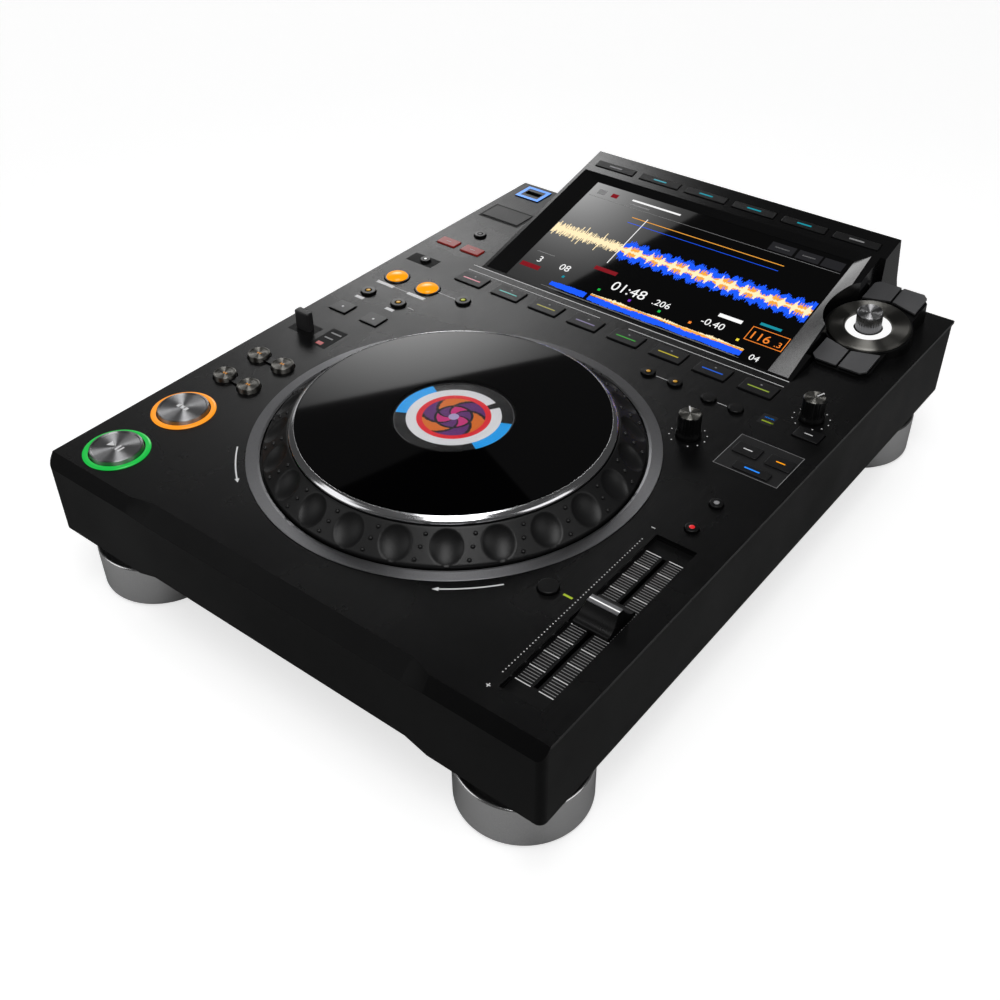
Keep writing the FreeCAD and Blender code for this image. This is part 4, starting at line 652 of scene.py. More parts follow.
# Round metal keys and their light rings.
mainKey = {"x": -137.6, "play": -199.9, "cue": -153.9, "radius": 14.2, "rise": 2.8, "low": -3.3}
for name, y in (("play_key", mainKey["play"]), ("cue_key", mainKey["cue"])):
    key = Shape()
    r, top = mainKey["radius"], mainKey["rise"]
    revolve(key, [(0.0, mainKey["low"]), (r + 1.2, mainKey["low"]), (r + 1.2, -2.3), (r, -2.3)]
            + soften([(r, -2.3), (r, top - 0.1), (r - 1.2, top), (r - 1.5, top - 0.35),
                      (0.0, top - 0.5)], 0.5, 5)[1:], at(mainKey["x"], y), 120)
    sign = Shape()
    signPlace = at(mainKey["x"], y, deckTop + top - 0.46)
    if name == "play_key":
        prism(sign, [(-5.4, -2.2, 0), (-1.4, 0, 0), (-5.4, 2.2, 0)], 0.08, signPlace)
        for x in (1.0, 3.4):
            block(sign, x, x + 1.2, -2.2, 2.2, 0, 0.08, signPlace)
    else:
        for x in (-4.3, -1.3, 1.7):
            block(sign, x, x + 2.0, -1.3, 1.3, 0, 0.08, signPlace)
    keyMesh, keyMaterials = joined(name, [(key.mesh(name), spunCap),
                                          (sign.mesh("sign"), printing)])
    addPiece(name + "_cap", keyMesh, name, "spun_silver", keyMaterials, name)
glow = Shape()
for tint, y in enumerate((mainKey["play"], mainKey["cue"])):
    revolve(glow, soften([(15.1, 0.0), (18.1, 0.0), (18.0, 0.5), (17.1, 0.85), (15.1, 0.8)],
                         0.3, 4, closed=True), at(mainKey["x"], y), 120, tint, closed=True)
addPiece("key_light_rings", glow, "housing", "ring_light", [greenGlow, orangeGlow],
         "glow_rings")

# Search rockers: two round caps joined by a bridge.
rockerMark = lit("amber mark", (0.5, 0.2, 0.025), 0.85)
rocker = {"x": -135.6, "half": 9.9, "radius": 6.6, "rise": 2.6, "low": -4.5}
for name, y in (("search_rocker", -116.0), ("track_rocker", -89.2)):
    caps = Shape()
    lights = Shape()
    for side in (-1, 1):
        spot = at(rocker["x"] + rocker["half"] * side, y)
        r, top = rocker["radius"], rocker["rise"]
        revolve(caps, soften([(0.0, rocker["low"]), (r, rocker["low"]), (r, top - 0.1),
                              (r - 0.8, top), (r - 1.4, top - 0.25), (0.0, top - 0.35)], 0.3, 3),
                spot, 72)
        for x in (-1.4, 0.2):
            prism(lights, [(x, -1.0, 2.3), (x + 1.3, 0, 2.3), (x, 1.0, 2.3)], 0.12,
                  spot @ Matrix.Rotation(math.pi if side < 0 else 0.0, 4, "Z"))
    bridge = Shape()
    block(bridge, -rocker["half"], rocker["half"], -2.5, 2.5, rocker["low"], 1.0,
          at(rocker["x"], y))
    mesh, materials = joined(name, [(caps.mesh(name), spunDark), (bridge.mesh("bridge"), softBlack),
                                    (lights.mesh("marks"), rockerMark)])
    addPiece(name + "_caps", mesh, name, "knob_black", materials, name)

# Direction lever.
lever = {"x": -146.5, "y": -50.0, "width": 11.4, "deep": 5.0, "rise": 12.2, "low": -9.0}
blade = Shape()
cap(blade, roundedRectangle(lever["width"], lever["deep"], 1.2), lever["low"], lever["rise"],
    0.9, at(lever["x"], lever["y"]), 1)
for step in range(5):
    block(blade, -5.3, 5.3, -2.0 + step, -1.75 + step, lever["rise"] - 0.06,
          lever["rise"] + 0.08, at(lever["x"], lever["y"]), 0)
addPiece("direction_lever_blade", blade, "direction_lever", "key_black",
         [softBlack, capGrey], "direction_lever")


# Every key stands on a wider flange that holds it under the deck.
seat = {"low": -3.3, "top": -2.3, "lip": 1.2}


def roundKey(shape, x, y, radius, rise, tint=None, share=0.3):
    revolve(shape, [(0.0, seat["low"]), (radius + seat["lip"], seat["low"]),
                    (radius + seat["lip"], seat["top"])]
            + soften([(radius, seat["top"]), (radius, rise), (0.0, rise)], 0.5, 4), at(x, y), 60)
    if tint:
        revolve(shape, [(0.0, rise), (radius * share, rise),
                        (radius * (share - 0.04), rise + 0.08), (0.0, rise + 0.1)],
                at(x, y), 24, tint)


def domedKey(shape, x, y, radius, rise, dome):
    base, inner = rise - dome, radius - 1.3
    arch = [(inner * math.cos(t), base + dome * math.sin(t))
            for t in [math.pi / 2 * step / 10 for step in range(10)]]
    revolve(shape, [(inner + 0.1, base)] + arch + [(0.0, rise)], at(x, y), 60, 1)
    revolve(shape, [(0.0, seat["low"]), (radius + seat["lip"], seat["low"]),
                    (radius + seat["lip"], seat["top"]), (radius, seat["top"]),
                    (radius, base - 0.4), (radius - 0.4, base), (inner + 0.1, base)],
            at(x, y), 60)


def roundKeys(name, spots, radius, rise, markMaterial, slot, dome=0.0):
    keys = Shape()
    for x, y in spots:
        if dome:
            domedKey(keys, x, y, radius, rise, dome)
        else:
            roundKey(keys, x, y, radius, rise, 1 if markMaterial else None)
    materials = [softBlack] + ([markMaterial] if markMaterial else [])
    addPiece(name + "_caps", welded(keys.mesh(name)), name, slot, materials, name)


amberMark = lit("amber dot", (0.5, 0.26, 0.03), 0.8)
oliveMark = lit("olive dot", (0.3, 0.32, 0.03))
roundKeys("loop_keys", [(-144.3, 31.6), (-118.3, 31.6)], 8.3, 3.0, amberGlow, "amber_key", 2.2)
for name, radius, mark, spots in (
        ("beat_loop_keys", 4.9, amberMark, [(-146.2, 6.3), (-120.7, 6.3)]),
        ("reloop_key", 4.9, oliveMark, [(-89.9, 32.9)]),
        ("slip_key", 3.6, whiteGlow, [(-144.4, 60.0)]),
        # The eject key's pale glowing centre dot stands in for a highlight on its face: a painted
        # highlight.
        ("eject_key", 4.2, dimPrinting, [(-138.0, 110.0)]),
        ("call_keys", 4.2, amberMark, [(47.0, 34.4), (65.0, 34.4)]),
        ("memory_keys", 4.2, None, [(88.4, 32.2), (105.6, 32.2)])):
    roundKeys(name, spots, radius, 1.6, mark, "key_black")


# Square keys, each with the light or mark on its face.
def squareKeys(name, keys, material, slot):
    shape = Shape()
    materials, marks = [material], []
    for x, y, width, deep, mark in keys:
        place = at(x, y)
        cap(shape, roundedRectangle(width, deep, 1.0), seat["top"], 0.9, 0.35, place)
        cap(shape, roundedRectangle(width + seat["lip"] * 2, deep + seat["lip"] * 2, 1.2),
            seat["low"], seat["top"], 0.1, place)
        for *bar, tint in mark:
            if tint not in materials:
                materials.append(tint)
            marks.append((place, *bar, materials.index(tint)))
    for place, *bar in marks:
        plates(shape, [bar], 0.88, 0.96, place)
    addPiece(name + "_caps", shape, name, slot, materials, name)


hotLights = [(0.62, 0.1, 0.16), (0.02, 0.4, 0.36), (0.4, 0.36, 0.04), (0.28, 0.24, 0.42),
             (0.06, 0.42, 0.05), (0.6, 0.5, 0.04), (0.02, 0.14, 0.8), (0.34, 0.46, 0.06)]
hotRow = {"x": -102.8, "y": 58.4, "pitch": 29.77, "width": 20.8, "deep": 12.6}
for index, colour in enumerate(hotLights):
    name = "hot_cue_" + "abcdefgh"[index]
    bar = lit("hot light %d" % (index + 1), colour, 0.6)
    squareKeys(name, [(hotRow["x"] + hotRow["pitch"] * index, hotRow["y"], hotRow["width"],
                       hotRow["deep"], [(-6.8, 6.8, -1.35, -0.35, bar),
                                        (-0.6, 0.6, 2.6, 3.6, dimPrinting)])],
               keyBlack, "key_black")
squareKeys("beat_jump_keys", [(x, -17.8, 13.4, 11.4, [(-0.7, 0.7, -0.7, 0.7, printing)])
                              for x in (-145.7, -119.9)], softBlack, "key_black")
redFace = finish("dim red key", (0.2, 0.016, 0.014), 0.35, glow=((0.35, 0.02, 0.015), 0.25))
squareKeys("mode_keys", [(x, 89.4, 15.0, 8.6, [(-2.0, 2.0, -0.3, 0.3, dimPrinting)])
                         for x in (-148.6, -128.2)], redFace, "red_key")
squareKeys("jog_mode_key", [(148.6, 34.4, 14.8, 10.0, [(-2.4, 2.4, -0.3, 0.3, printing)])],
           keyBlack, "key_black")
squareKeys("sync_keys", [
    (129.6, 2.6, 14.8, 10.0, [(-2.6, 2.6, -0.4, 0.4, printing)]),
    (148.8, 2.6, 14.8, 10.0, [(-2.6, 2.6, -0.4, 0.4, amberGlow)]),
    (139.8, -11.6, 21.0, 6.6, [(-4.4, 4.4, -0.5, 0.5, blueGlow)])], keyBlack, "key_black")

tempo = Shape()
for x, y, radius, rise, tint in ((139.2, -46.6, 3.6, 1.6, 1), (139.2, -70.2, 3.6, 1.6, 2),
                                 (108.3, -146.4, 5.2, 1.6, 0)):
    roundKey(tempo, x, y, radius, rise, tint, 0.4)
addPiece("tempo_keys_caps", welded(tempo.mesh("tempo")), "tempo_keys", "key_black",
         [softBlack, dimPrinting, redGlow], "tempo_keys")
print("keys made")

# Display keys.
tilt = math.degrees(math.atan(33.5 / 135.5))
screenPlace = at(0.0, 76.0, deckTop, tilt)
displayKey = {"x": -87.4, "y": 126.8, "pitch": 36.1, "width": 30.6, "deep": 6.2}
for name, first, lights in (("source_keys", 0, (None, cyanGlow)),
                            ("list_keys", 2, (cyanGlow, cyanGlow)),
                            ("menu_keys", 4, (cyanGlow, None))):
    keys = Shape()
    for step, light in enumerate(lights):
        x = displayKey["x"] + displayKey["pitch"] * (first + step)
        place = screenPlace @ Matrix.Translation((x, displayKey["y"], 0.0))
        cap(keys, roundedRectangle(displayKey["width"], displayKey["deep"], 0.8), -5.0, 0.7, 0.3,
            place)
        block(keys, -5.0, 5.0, -0.6, 0.6, 0.68, 0.75, place, 1 if light else 2)
    addPiece(name + "_caps", keys, name, "key_black", [keyBlack, cyanGlow, dimPrinting],
             name)

# Display picture.
picturePlace = screenPlace @ Matrix.Translation((0.0, 0.0, -3.2))
waveBlue = lit("wave blue", (0.01, 0.1, 0.95), 0.95)
waveOrange = lit("wave orange", (0.95, 0.4, 0.05), 0.9)
waveCream = lit("wave cream", (1.0, 0.82, 0.5), 0.95)
boxOrange = lit("number orange", (0.95, 0.25, 0.03), 0.9)
parts = []
thin = 0.04
waves = ((waveCream, 175, -92.4, 0.31, 59.0, 11.5, 0.2, 1.0, 3, 0.0, 0.0, 1.0),
         (waveCream, 88, -92.2, 0.62, 59.0, 19.0, 0.1, 1.0, 5, 0.55, 0.8, 6.0),
         (waveBlue, 262, -38.0, 0.52, 59.0, 21.5, 0.72, 1.0, 7, 0.19, 0.42, 0.6),
         (waveOrange, 262, -38.0, 0.52, 59.0, 14.0, 0.3, 0.9, 11, 0.095, 0.6, 2.0),
         (waveCream, 262, -38.0, 0.52, 59.0, 15.0, 0.5, 0.9, 13, 0.19, 0.9, 9.0),
         (waveCream, 262, -38.0, 0.52, 59.0, 3.2, 0.2, 0.9, 14, 0.0, 0.0, 1.0),
         (waveBlue, 44, -61.0, 0.62, 10.4, 5.6, 0.8, 1.0, 31, 0.05, 0.3, 1.0),
         (waveBlue, 177, -31.0, 0.62, 9.6, 6.0, 0.75, 1.0, 17, 0.07, 0.25, 1.0),
         (waveOrange, 177, -31.0, 0.62, 12.6, 3.4, 0.3, 1.0, 19, 0.04, 0.6, 2.0),
         (waveCream, 177, -31.0, 0.62, 13.6, 3.0, 0.15, 1.0, 23, 0.055, 0.8, 4.0))
for layer, wave in enumerate(waves):
    light, count, first, pitch, middle, tall, shortest, tallest, seed, beat, dip, sharp = wave
    height = thin + 0.01 * layer
    parts.append(barRow(light, count, (first, middle, height / 2), (pitch, 0, 0),
                        (pitch * 1.02, tall, height), picturePlace, shortest, tallest, seed,
                        beat, dip, sharp))
flat = Shape()
flatLights = [whiteGlow, waveOrange, waveBlue, boxOrange, dimPrinting, greenGlow,
              lit("violet mark", (0.2, 0.03, 0.6), 0.9), lit("yellow mark", (0.8, 0.65, 0.04)),
              lit("tab grey", (0.03, 0.03, 0.034), 0.4), cyanGlow,
              lit("dull red", (0.22, 0.008, 0.014), 0.9)]
marks = [
    (-39.4, -38.8, 43.0, 92.0, 0), (-50.0, 63.0, 89.3, 89.9, 1), (-50.0, 62.0, 83.8, 84.2, 2),
    (73.5, 98.4, 33.2, 33.7, 3), (73.5, 98.4, 21.3, 21.8, 3), (73.5, 74.0, 21.3, 33.7, 3),
    (97.9, 98.4, 21.3, 33.7, 3), (50.0, 66.0, 31.6, 34.6, 0), (-66.0, 76.0, 6.3, 6.6, 4),
    (-91.0, 96.6, 98.0, 98.3, 4), (45.5, 62.5, 100.0, 108.0, 8), (64.5, 80.5, 100.0, 108.0, 8),
    (82.0, 96.0, 100.0, 108.0, 8), (-87.0, -81.0, 101.6, 106.4, 4),
    (-76.0, -71.0, 102.0, 106.0, 10), (-60.0, -22.0, 104.6, 106.2, 0),
    (-60.0, -44.0, 100.6, 101.8, 4), (49.0, 59.0, 103.4, 104.4, 4),
    (68.0, 77.0, 103.4, 104.4, 4), (-44.0, -27.0, 34.6, 38.0, 10),
    (-60.0, 79.0, 5.9, 6.1, 4), (-91.0, -76.0, 16.6, 20.6, 10), (-88.0, -74.0, 33.0, 33.5, 4),
    (76.0, 90.0, 36.4, 38.6, 9), (-30.0, -28.2, 18.0, 20.0, 5), (-7.0, -5.2, 18.0, 20.0, 6),
    (15.0, 16.8, 18.0, 20.0, 5), (37.0, 38.8, 18.0, 20.0, 3), (70.0, 71.8, 18.0, 20.0, 7),
    (-58.0, -56.2, 18.0, 20.0, 9)]
plates(flat, marks, 0.0, thin, picturePlace)
flatMesh = flat.mesh("flat marks")
for text, size, x, y, light in (
        ("01:48", 11.5, -24.0, 22.8, whiteGlow), (".206", 7.4, 7.4, 22.8, whiteGlow),
        ("-0.40", 7.8, 43.0, 21.6, whiteGlow), ("116", 9.4, 74.6, 23.6, boxOrange),
        (".3", 6.4, 92.0, 23.6, boxOrange), ("04", 6.6, 84.0, 7.6, whiteGlow),
        ("08", 8.0, -65.0, 24.0, whiteGlow), ("3", 8.0, -83.0, 24.0, whiteGlow)):
    parts.append(digits(light, text, size, x, y, thin, picturePlace))
pictureMesh, pictureMaterials = joined("display picture", parts)
addPiece("display_picture", pictureMesh, "housing", "screen_glow", pictureMaterials)
addPiece("display_marks", flatMesh, "housing", "screen_glow", flatLights)
print("display made")

# Knobs.
knob = {"radius": 6.4, "flutes": 18, "flute": 0.32}
knobSpots = {"jog_adjust_knob": (97.0, -4.0, 35.0), "speed_adjust_knob": (142.6, 49.6, -20.0)}


def fluted(radius, height, angle):
    if knob["radius"] - 0.2 < radius < knob["radius"] + 0.1 and 4.0 < height < 13.6:
        wave = max(0.0, math.cos(angle * knob["flutes"])) ** 1.5
        return radius - knob["flute"] * wave, height
    return radius, height


for name, (x, y, turn) in knobSpots.items():
    body = Shape()
    place = at(x, y, deckTop, 0.0, turn)
    revolve(body, [(0.0, -9.0), (3.0, -9.0), (3.0, 0.5), (7.0, 0.5), (7.1, 0.7), (7.1, 2.0),
                   (6.8, 2.6), (6.4, 3.6), (6.4, 4.1), (6.4, 13.5), (6.3, 13.7), (6.0, 14.0)],
            place, 216, 0, shift=fluted)
    revolve(body, [(6.0, 14.0), (5.8, 14.3), (5.5, 14.4), (5.2, 14.3), (0.0, 14.25)], place, 216,
            1)
    block(body, -0.35, 0.35, 1.6, 6.6, 13.6, 14.44, place, 2)
    addPiece(name + "_body", welded(body.mesh(name)), name, "knob_black",
             [softBlack, spunDark, printing], name)

# Rotary selector.
dial = {"x": 130.0, "y": 145.3, "rise": 9.6, "tilt": 8.0}
dialPlace = at(dial["x"], dial["y"], deckTop + dial["rise"], dial["tilt"])
turned = Shape()
revolve(turned, soften([(13.6, -2.0), (24.5, -2.0), (24.5, -0.6), (23.0, 0.0), (15.0, -0.45),
                        (13.6, -1.0)], 0.4, 4, closed=True), dialPlace, 180, closed=True)
addPiece("selector_disc_turned", turned, "housing", "knob_black", [spunDark],
         "selector_disc")
# A white glowing ring under the knob stands in for the bright reflection in the bowl around it: a
# painted highlight, not a lamp.
selectorHighlightRing = Shape()
revolve(selectorHighlightRing, [(8.6, -2.9), (13.4, -2.9), (13.4, -1.9), (8.6, -1.7)], dialPlace, 120,
        closed=True)
addPiece("selector_painted_highlight", selectorHighlightRing, "housing", "ring_light", [whiteGlow])


def knurled(radius, height, angle):
    if 7.3 < radius < 7.65 and -1.2 < height < 7.6:
        return radius - 0.28 * (0.5 + 0.5 * math.cos(angle * 30)), height
    return radius, height


wheel = Shape()
revolve(wheel, [(0.0, -7.7), (3.0, -7.7), (3.0, -1.5), (7.6, -1.5), (7.6, -1.0), (7.6, 7.4),
                (7.6, 7.8), (7.5, 8.6)], dialPlace, 240, 0, shift=knurled)
revolve(wheel, [(7.5, 8.6), (7.3, 9.2), (6.9, 9.4), (6.5, 9.3), (6.2, 9.0), (0.0, 8.8)],
        dialPlace, 240, 1)
addPiece("rotary_knob_turned", welded(wheel.mesh("wheel")), "rotary_knob", "knob_black",
         [polishedDark, spunCap], "rotary_knob")

# Pitch fader cap: two hollow slopes and a raised ridge.
fader = {"x": 139.1, "y": -145.9, "half": 11.0, "low": -2.4, "shelf": 0.2,
         "ridge": 2.4, "top": 7.0, "narrow": 0.14}
side = [(-fader["half"], fader["low"]), (fader["half"], fader["low"]),
        (fader["half"], fader["shelf"] - 0.5), (fader["half"] - 0.5, fader["shelf"])]
slopeSteps = 9
for step in range(1, slopeSteps + 1):
    t = step / slopeSteps
    side.append((fader["half"] - 0.5 - (fader["half"] - 0.5 - fader["ridge"]) * t,
                 fader["shelf"] + (fader["top"] - 0.5 - fader["shelf"]) * t ** 2.2))
side += [(fader["ridge"] - 0.4, fader["top"])]
side += [(-y, z) for y, z in reversed(side[2:])]
count = len(side)
capShape = Shape()
insets = [(-9.9, 0.35), (-9.55, 0.0), (9.55, 0.0), (9.9, 0.35)]
points = []
for x, inset in insets:
    for y, z in side:
        lifted = max(0.0, (z - fader["shelf"]) / (fader["top"] - fader["shelf"]))
        points.append((x * (1 - fader["narrow"] * lifted), y * (1 - inset / fader["half"]),
                       z - (inset if z > fader["shelf"] - 0.6 else 0)))
faces = [list(range(count - 1, -1, -1)), [3 * count + a for a in range(count)]]
faces += walls(len(insets), count)
place = at(fader["x"], fader["y"])
capShape.add(points, faces, None, 0, place)
block(capShape, -0.6, 0.6, -2.5, 2.5, -10.4, -2.4, place, 0)
# The white line along the top glows: a painted brightness on a printed line, which is no lamp.
block(capShape, -8.2, 8.2, -0.4, 0.4, 6.9, 7.06, place, 2)
for edge in (-1, 1):
    block(capShape, -8.3, 8.3, edge * 1.45 - 0.95, edge * 1.45 + 0.95, 6.5, 7.02, place, 1)
addPiece("tempo_fader_cap", capShape, "tempo_fader", "knob_black",
         [softBlack, keyGrey, whiteGlow], "tempo_fader")

# Printing on the deck.
deck = at(0.0, 0.0)
ink = 0.05
prints = []
faderFloor = at(0.0, 0.0, deckTop - 3.0)
for side in (-1, 1):
    x = fader["x"] + side * 6.4
    prints.append(barRow(dimPrinting, 61, (x, -198.0, ink / 2), (0, 1.733, 0),
                         (7.6, 0.34, ink), faderFloor))
    prints.append(barRow(printing, 11, (x, -198.0, ink * 0.7), (0, 10.4, 0), (8.4, 0.5, ink),
                         faderFloor))
prints.append(barRow(printing, 52, (123.9, -200.6, ink / 2), (0, 2.15, 0), (0.55, 0.55, ink),
                     deck))
for x, y, turn in knobSpots.values():
    prints.append(bumpArc(printing, 11, 10.2, 0.0, -60.0, 30.0, (0.42, 0.42, 0.06), at(x, y)))
drawn = Shape()
bars = [(-115, 116, 74.6, 75.2), (-114, -10, 68.3, 68.7), (11, 116, 68.3, 68.7),
        (-140.0, -124.6, 20.6, 20.9), (-111, -95, 32.4, 32.7), (52.5, 60, 34.3, 34.6),
        (94, 100, 32.1, 32.4), (-113.0, -108.0, 6.2, 6.5), (122.6, 124.8, -80.8, -80.3),
        (122.6, 124.8, -210.6, -210.1), (123.45, 123.95, -211.5, -209.2)]
plates(drawn, bars, 0.0, ink, deck)
labels = [(-151.5, -137.5, 19.0, 21.8), (-125.5, -111.5, 19.0, 21.8),
          (-149.5, -143.0, -3.4, -0.8), (-124.0, -117.5, -3.4, -0.8)]
plates(drawn, labels, 0.0, ink * 1.4, deck)
arrow = {"radius": 116.1, "half": 0.4, "long": 3.2, "wide": 1.3}
for start, end, head in ((-140, -126, -126), (-54, -39, -54)):
    arcBar(drawn, arrow["radius"] - arrow["half"], arrow["radius"] + arrow["half"], start, end,
           0.0, ink, jogPlace)
    angle = math.radians(head)
    tip = Vector((arrow["radius"] * math.cos(angle), arrow["radius"] * math.sin(angle), 0.0))
    along = Vector((-math.sin(angle), math.cos(angle), 0.0)) * (1 if head < -90 else -1)
    out = Vector((math.cos(angle), math.sin(angle), 0.0))
    corners = [tip + along * arrow["long"], tip - out * arrow["wide"], tip + out * arrow["wide"]]
    if (corners[1] - corners[0]).cross(corners[2] - corners[0]).z < 0:
        corners = [corners[0], corners[2], corners[1]]
    prism(drawn, corners, ink, jogPlace)
prints.append((drawn.mesh("drawn"), printing))
printMesh, printMaterials = joined("deck printing", prints)
addPiece("deck_printing", printMesh, "housing", "brushed_black", printMaterials)

# Lit marks on the deck and sunk label fields.
deckLights = Shape()
pockets = [(-132.6, -120.6, -60.4, -39.6), (-156.8, -135.2, 54.1, 65.1),
           (-155.9, -137.1, -56.0, -44.0), (128.4, 137.2, 29.2, 39.2),
           (-159.2, -157.5, 134.1, 155.9), (-126.5, -124.8, 134.1, 155.9),
           (-157.5, -126.5, 134.1, 135.5), (-157.5, -126.5, 154.5, 155.9)]
fields = [
    (116.4, 121.4, -146.2, -145.0, 1), (-130.0, -125.4, -58.4, -55.2, 2),
    (-130.2, -123.6, -50.4, -49.2, 5), (-130.2, -122.2, -44.6, -43.4, 5),
    (121.6, 127.4, 35.6, 36.8, 3), (121.6, 128.4, 31.8, 33.0, 1), (119.7, 128.4, 29.2, 39.2, 4),
    (119.8, 156.5, -16.3, 14.2, 4), (119.5, 156.8, 14.2, 14.45, 5),
    (119.5, 156.8, -16.55, -16.3, 5), (119.5, 119.8, -16.3, 14.2, 5),
    (156.5, 156.8, -16.3, 14.2, 5)]
socketFrame = [(-10.0, 10.0, 6.0, 8.7, 3), (-10.0, 10.0, -8.7, -6.0, 3),
               (-10.0, -7.4, -6.0, 6.0, 3), (7.4, 10.0, -6.0, 6.0, 3)]
plates(deckLights, pockets, 0.0, 0.04, deck)
plates(deckLights, fields, 0.03, 0.1, deck)
plates(deckLights, socketFrame, 0.55, 0.7, at(-147.3, 183.5))
addPiece("deck_lights", deckLights, "housing", "screen_glow",
         [darkPocket, limeGlow, lit("dim red", (0.3, 0.012, 0.012), 0.8), blueGlow, labelGrey,
          dimPrinting])

# A narrow trim closes the gap between the case's front wall and the deck plate.
trim = {"half": 92.3, "flat": 87.0, "back": 9.0, "front": 7.5, "drop": 1.37, "low": -2.0}
frontFace = -226.5
trimTop = [(-trim["half"], trim["front"], 0.0), (-trim["flat"], trim["front"], -trim["drop"]),
           (trim["flat"], trim["front"], -trim["drop"]), (trim["half"], trim["front"], 0.0),
           (trim["flat"], trim["back"], 0.0), (-trim["flat"], trim["back"], 0.0)]
strip = Shape()
stripPoints = [(x, frontFace + y, z) for x, y, z in trimTop]
stripPoints += [(x, frontFace + y, trim["low"]) for x, y, z in trimTop]
stripFaces = [(0, 1, 5), (1, 2, 4, 5), (2, 3, 4), (7, 6, 11), (8, 7, 11, 10), (9, 8, 10)]
stripFaces += [((corner + 1) % 6, corner, corner + 6, (corner + 1) % 6 + 6) for corner in range(6)]
strip.add(stripPoints, stripFaces, None, 0, at(0.0, 0.0), flat=True)
addPiece("front_trim", strip, "housing", "case_black", [caseBlack])
print("printing made")

# Floor, lights and camera.
floorMesh = bpy.data.meshes.new("floor")
floorMesh.from_pydata([(-6, -6, 0), (6, -6, 0), (6, 6, 0), (-6, 6, 0)], [], [(0, 1, 2, 3)])
floor = linked("floor", floorMesh)
floorPaint, floorTree, floorShader = newMaterial("pale floor")
setAll(floorShader, {"Roughness": 0.9, "Specular IOR Level": 0.1,
                     "Emission Color": (1.0, 1.0, 1.0, 1.0)})
seen = wire(floorTree, "ShaderNodeLightPath")
floorSpot = wire(floorTree, "ShaderNodeTexCoord").outputs["Object"]
floorReach = wire(floorTree, "ShaderNodeVectorMath", {0: floorSpot}, operation="LENGTH")
floorLevel = wire(floorTree, "ShaderNodeMapRange", {
    "Value": floorReach.outputs["Value"], "From Min": 0.7, "From Max": 4.0, "To Min": 0.7,
    "To Max": 1.0})
floorTone = wire(floorTree, "ShaderNodeMapRange", {
    "Value": seen.outputs["Is Glossy Ray"], "To Min": 0.62, "To Max": 0.36})
floorTree.links.new(floorTone.outputs[0], floorShader.inputs["Base Color"])
share = maths(floorTree, "MULTIPLY", seen.outputs["Is Camera Ray"], floorLevel.outputs[0])
floorTree.links.new(share, floorShader.inputs["Emission Strength"])
floorMesh.materials.append(floorPaint)

world = bpy.data.worlds.new("studio")
scene.world = world
world.use_nodes = True
worldTree = world.node_tree
backdrop = worldTree.nodes["Background"]
backdrop.inputs["Color"].default_value = (1.0, 1.0, 1.0, 1.0)
worldRays = wire(worldTree, "ShaderNodeLightPath")
worldLevel = wire(worldTree, "ShaderNodeMapRange", {
    "Value": worldRays.outputs["Is Camera Ray"], "To Min": 0.05, "To Max": 1.0})
worldTree.links.new(worldLevel.outputs[0], backdrop.inputs["Strength"])

lamps = {  # azimuth from the back towards the right, elevation, distance, width, height, watts
    "top soft box": (144.0, 74.0, 1.7, 0.75, 1.8, 16.0),
    "front left soft box": (-140.0, 28.0, 1.7, 0.9, 0.9, 2.5),
    "right soft box": (80.0, 30.0, 1.7, 0.9, 0.9, 2.5),
}
aim = Vector((0.0, -0.02, 0.08))


def bearing(azimuth, elevation):
    a, e = math.radians(azimuth), math.radians(elevation)
    return Vector((math.sin(a) * math.cos(e), math.cos(a) * math.cos(e), math.sin(e)))


for name, (azimuth, elevation, distance, width, height, watts) in lamps.items():
    lamp = bpy.data.lights.new(name, "AREA")
    lamp.shape = "RECTANGLE"
    lamp.size, lamp.size_y, lamp.energy = width, height, watts
    holder = linked(name, lamp)
    away = bearing(azimuth, elevation)
    holder.location = aim + away * distance
    holder.rotation_euler = away.to_track_quat("Z", "Y").to_euler()
    holder.visible_camera = False


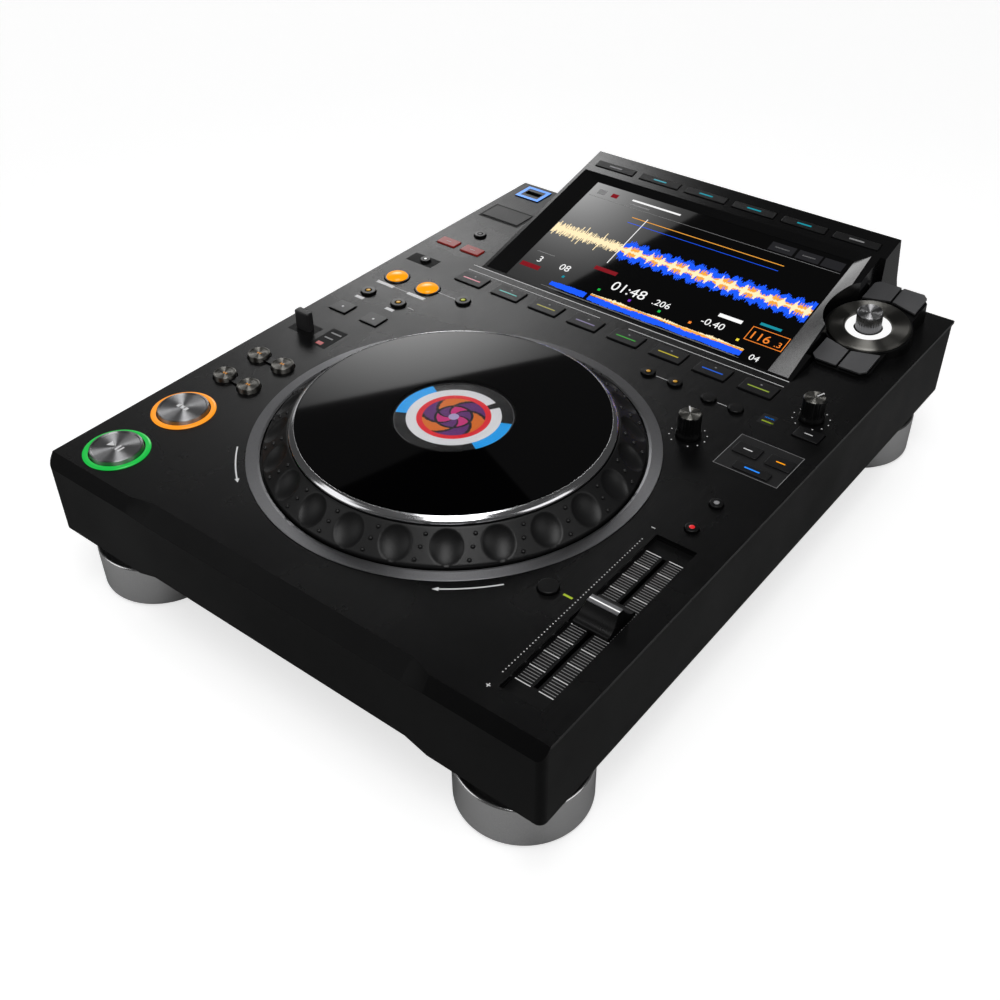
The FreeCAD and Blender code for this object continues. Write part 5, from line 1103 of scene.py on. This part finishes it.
# A softly lit card: corners are (azimuth, elevation, distance) from a centre point, and its
# light falls off from a bright spot given the same way.
def lightCard(name, middle, corners, spot, reach, dim, bright):
    places = [Vector(middle) + distance * bearing(azimuth, elevation)
              for azimuth, elevation, distance in [*corners, spot]]
    mesh = bpy.data.meshes.new(name)
    mesh.from_pydata(places[:-1], [], [list(range(len(corners)))])
    paint, tree, principled = newMaterial(name)
    tree.nodes.remove(principled)
    where = wire(tree, "ShaderNodeTexCoord").outputs["Object"]
    apart = wire(tree, "ShaderNodeVectorMath", {0: where, 1: places[-1]}, operation="DISTANCE")
    nearby = wire(tree, "ShaderNodeMapRange", {
        "Value": apart.outputs["Value"], "From Min": 0.0, "From Max": reach, "To Min": 1.0,
        "To Max": 0.0})
    falling = maths(tree, "POWER", nearby.outputs[0], 2.0)
    level = maths(tree, "MULTIPLY_ADD", falling, bright - dim, dim)
    light = wire(tree, "ShaderNodeEmission", {"Strength": level})
    tree.links.new(light.outputs[0], tree.nodes["Material Output"].inputs["Surface"])
    mesh.materials.append(paint)
    holder = linked(name, mesh)
    holder.visible_camera = False
    holder.visible_shadow = False
    return holder


lightCard("low back card", (-0.03, -0.03, 0.1), [
    (-80.0, 3.0, 4.3), (-12.0, 3.0, 4.3), (-19.81, 28.45, 4.251), (-34.12, 32.21, 4.001),
    (-50.47, 34.32, 3.973), (-65.0, 34.35, 4.143)], (-44.0, 24.0, 4.0), 0.95, 0.45, 12.0)
displayCard = lightCard("display card", (-0.05, 0.12, 0.09), [
    (-34.6, 48.0, 1.7), (-55.5, 50.3, 1.7), (-68.0, 44.0, 1.7), (-44.0, 40.0, 1.7)],
    (-46.5, 43.0, 1.7), 0.26, 0.7, 9.5)
displayPieces = bpy.data.collections.new("display pieces")
for name in ("display_housing", "display_glass"):
    displayPieces.objects.link(cadNodes[name])
for name in ("source_keys_caps", "list_keys_caps", "menu_keys_caps"):
    displayPieces.objects.link(bpy.data.objects[name])
displayCard.light_linking.receiver_collection = displayPieces

view = {"azimuth": 38.477, "elevation": 39.030, "roll": -0.69, "distance": 0.614875,
        "lens": 43.932, "target": (0.050805, -0.109158, 0.0845)}
a, e, r = (math.radians(view[key]) for key in ("azimuth", "elevation", "roll"))
back = Vector((math.sin(a) * math.cos(e), -math.cos(a) * math.cos(e), math.sin(e)))
level = Vector((math.cos(a), math.sin(a), 0.0))
upright = back.cross(level)
right = level * math.cos(r) + upright * math.sin(r)
up = upright * math.cos(r) - level * math.sin(r)
cameraData = bpy.data.cameras.new("camera")
cameraData.lens = view["lens"]
cameraData.sensor_width = 36.0
cameraData.clip_start = 0.01
camera = linked("camera", cameraData)
facing = Matrix((right, up, back)).transposed().to_4x4()
eye = Vector(view["target"]) + back * view["distance"]
camera.matrix_world = Matrix.Translation(eye) @ facing
scene.camera = camera
scene.view_settings.view_transform = "Standard"
print("stage set")
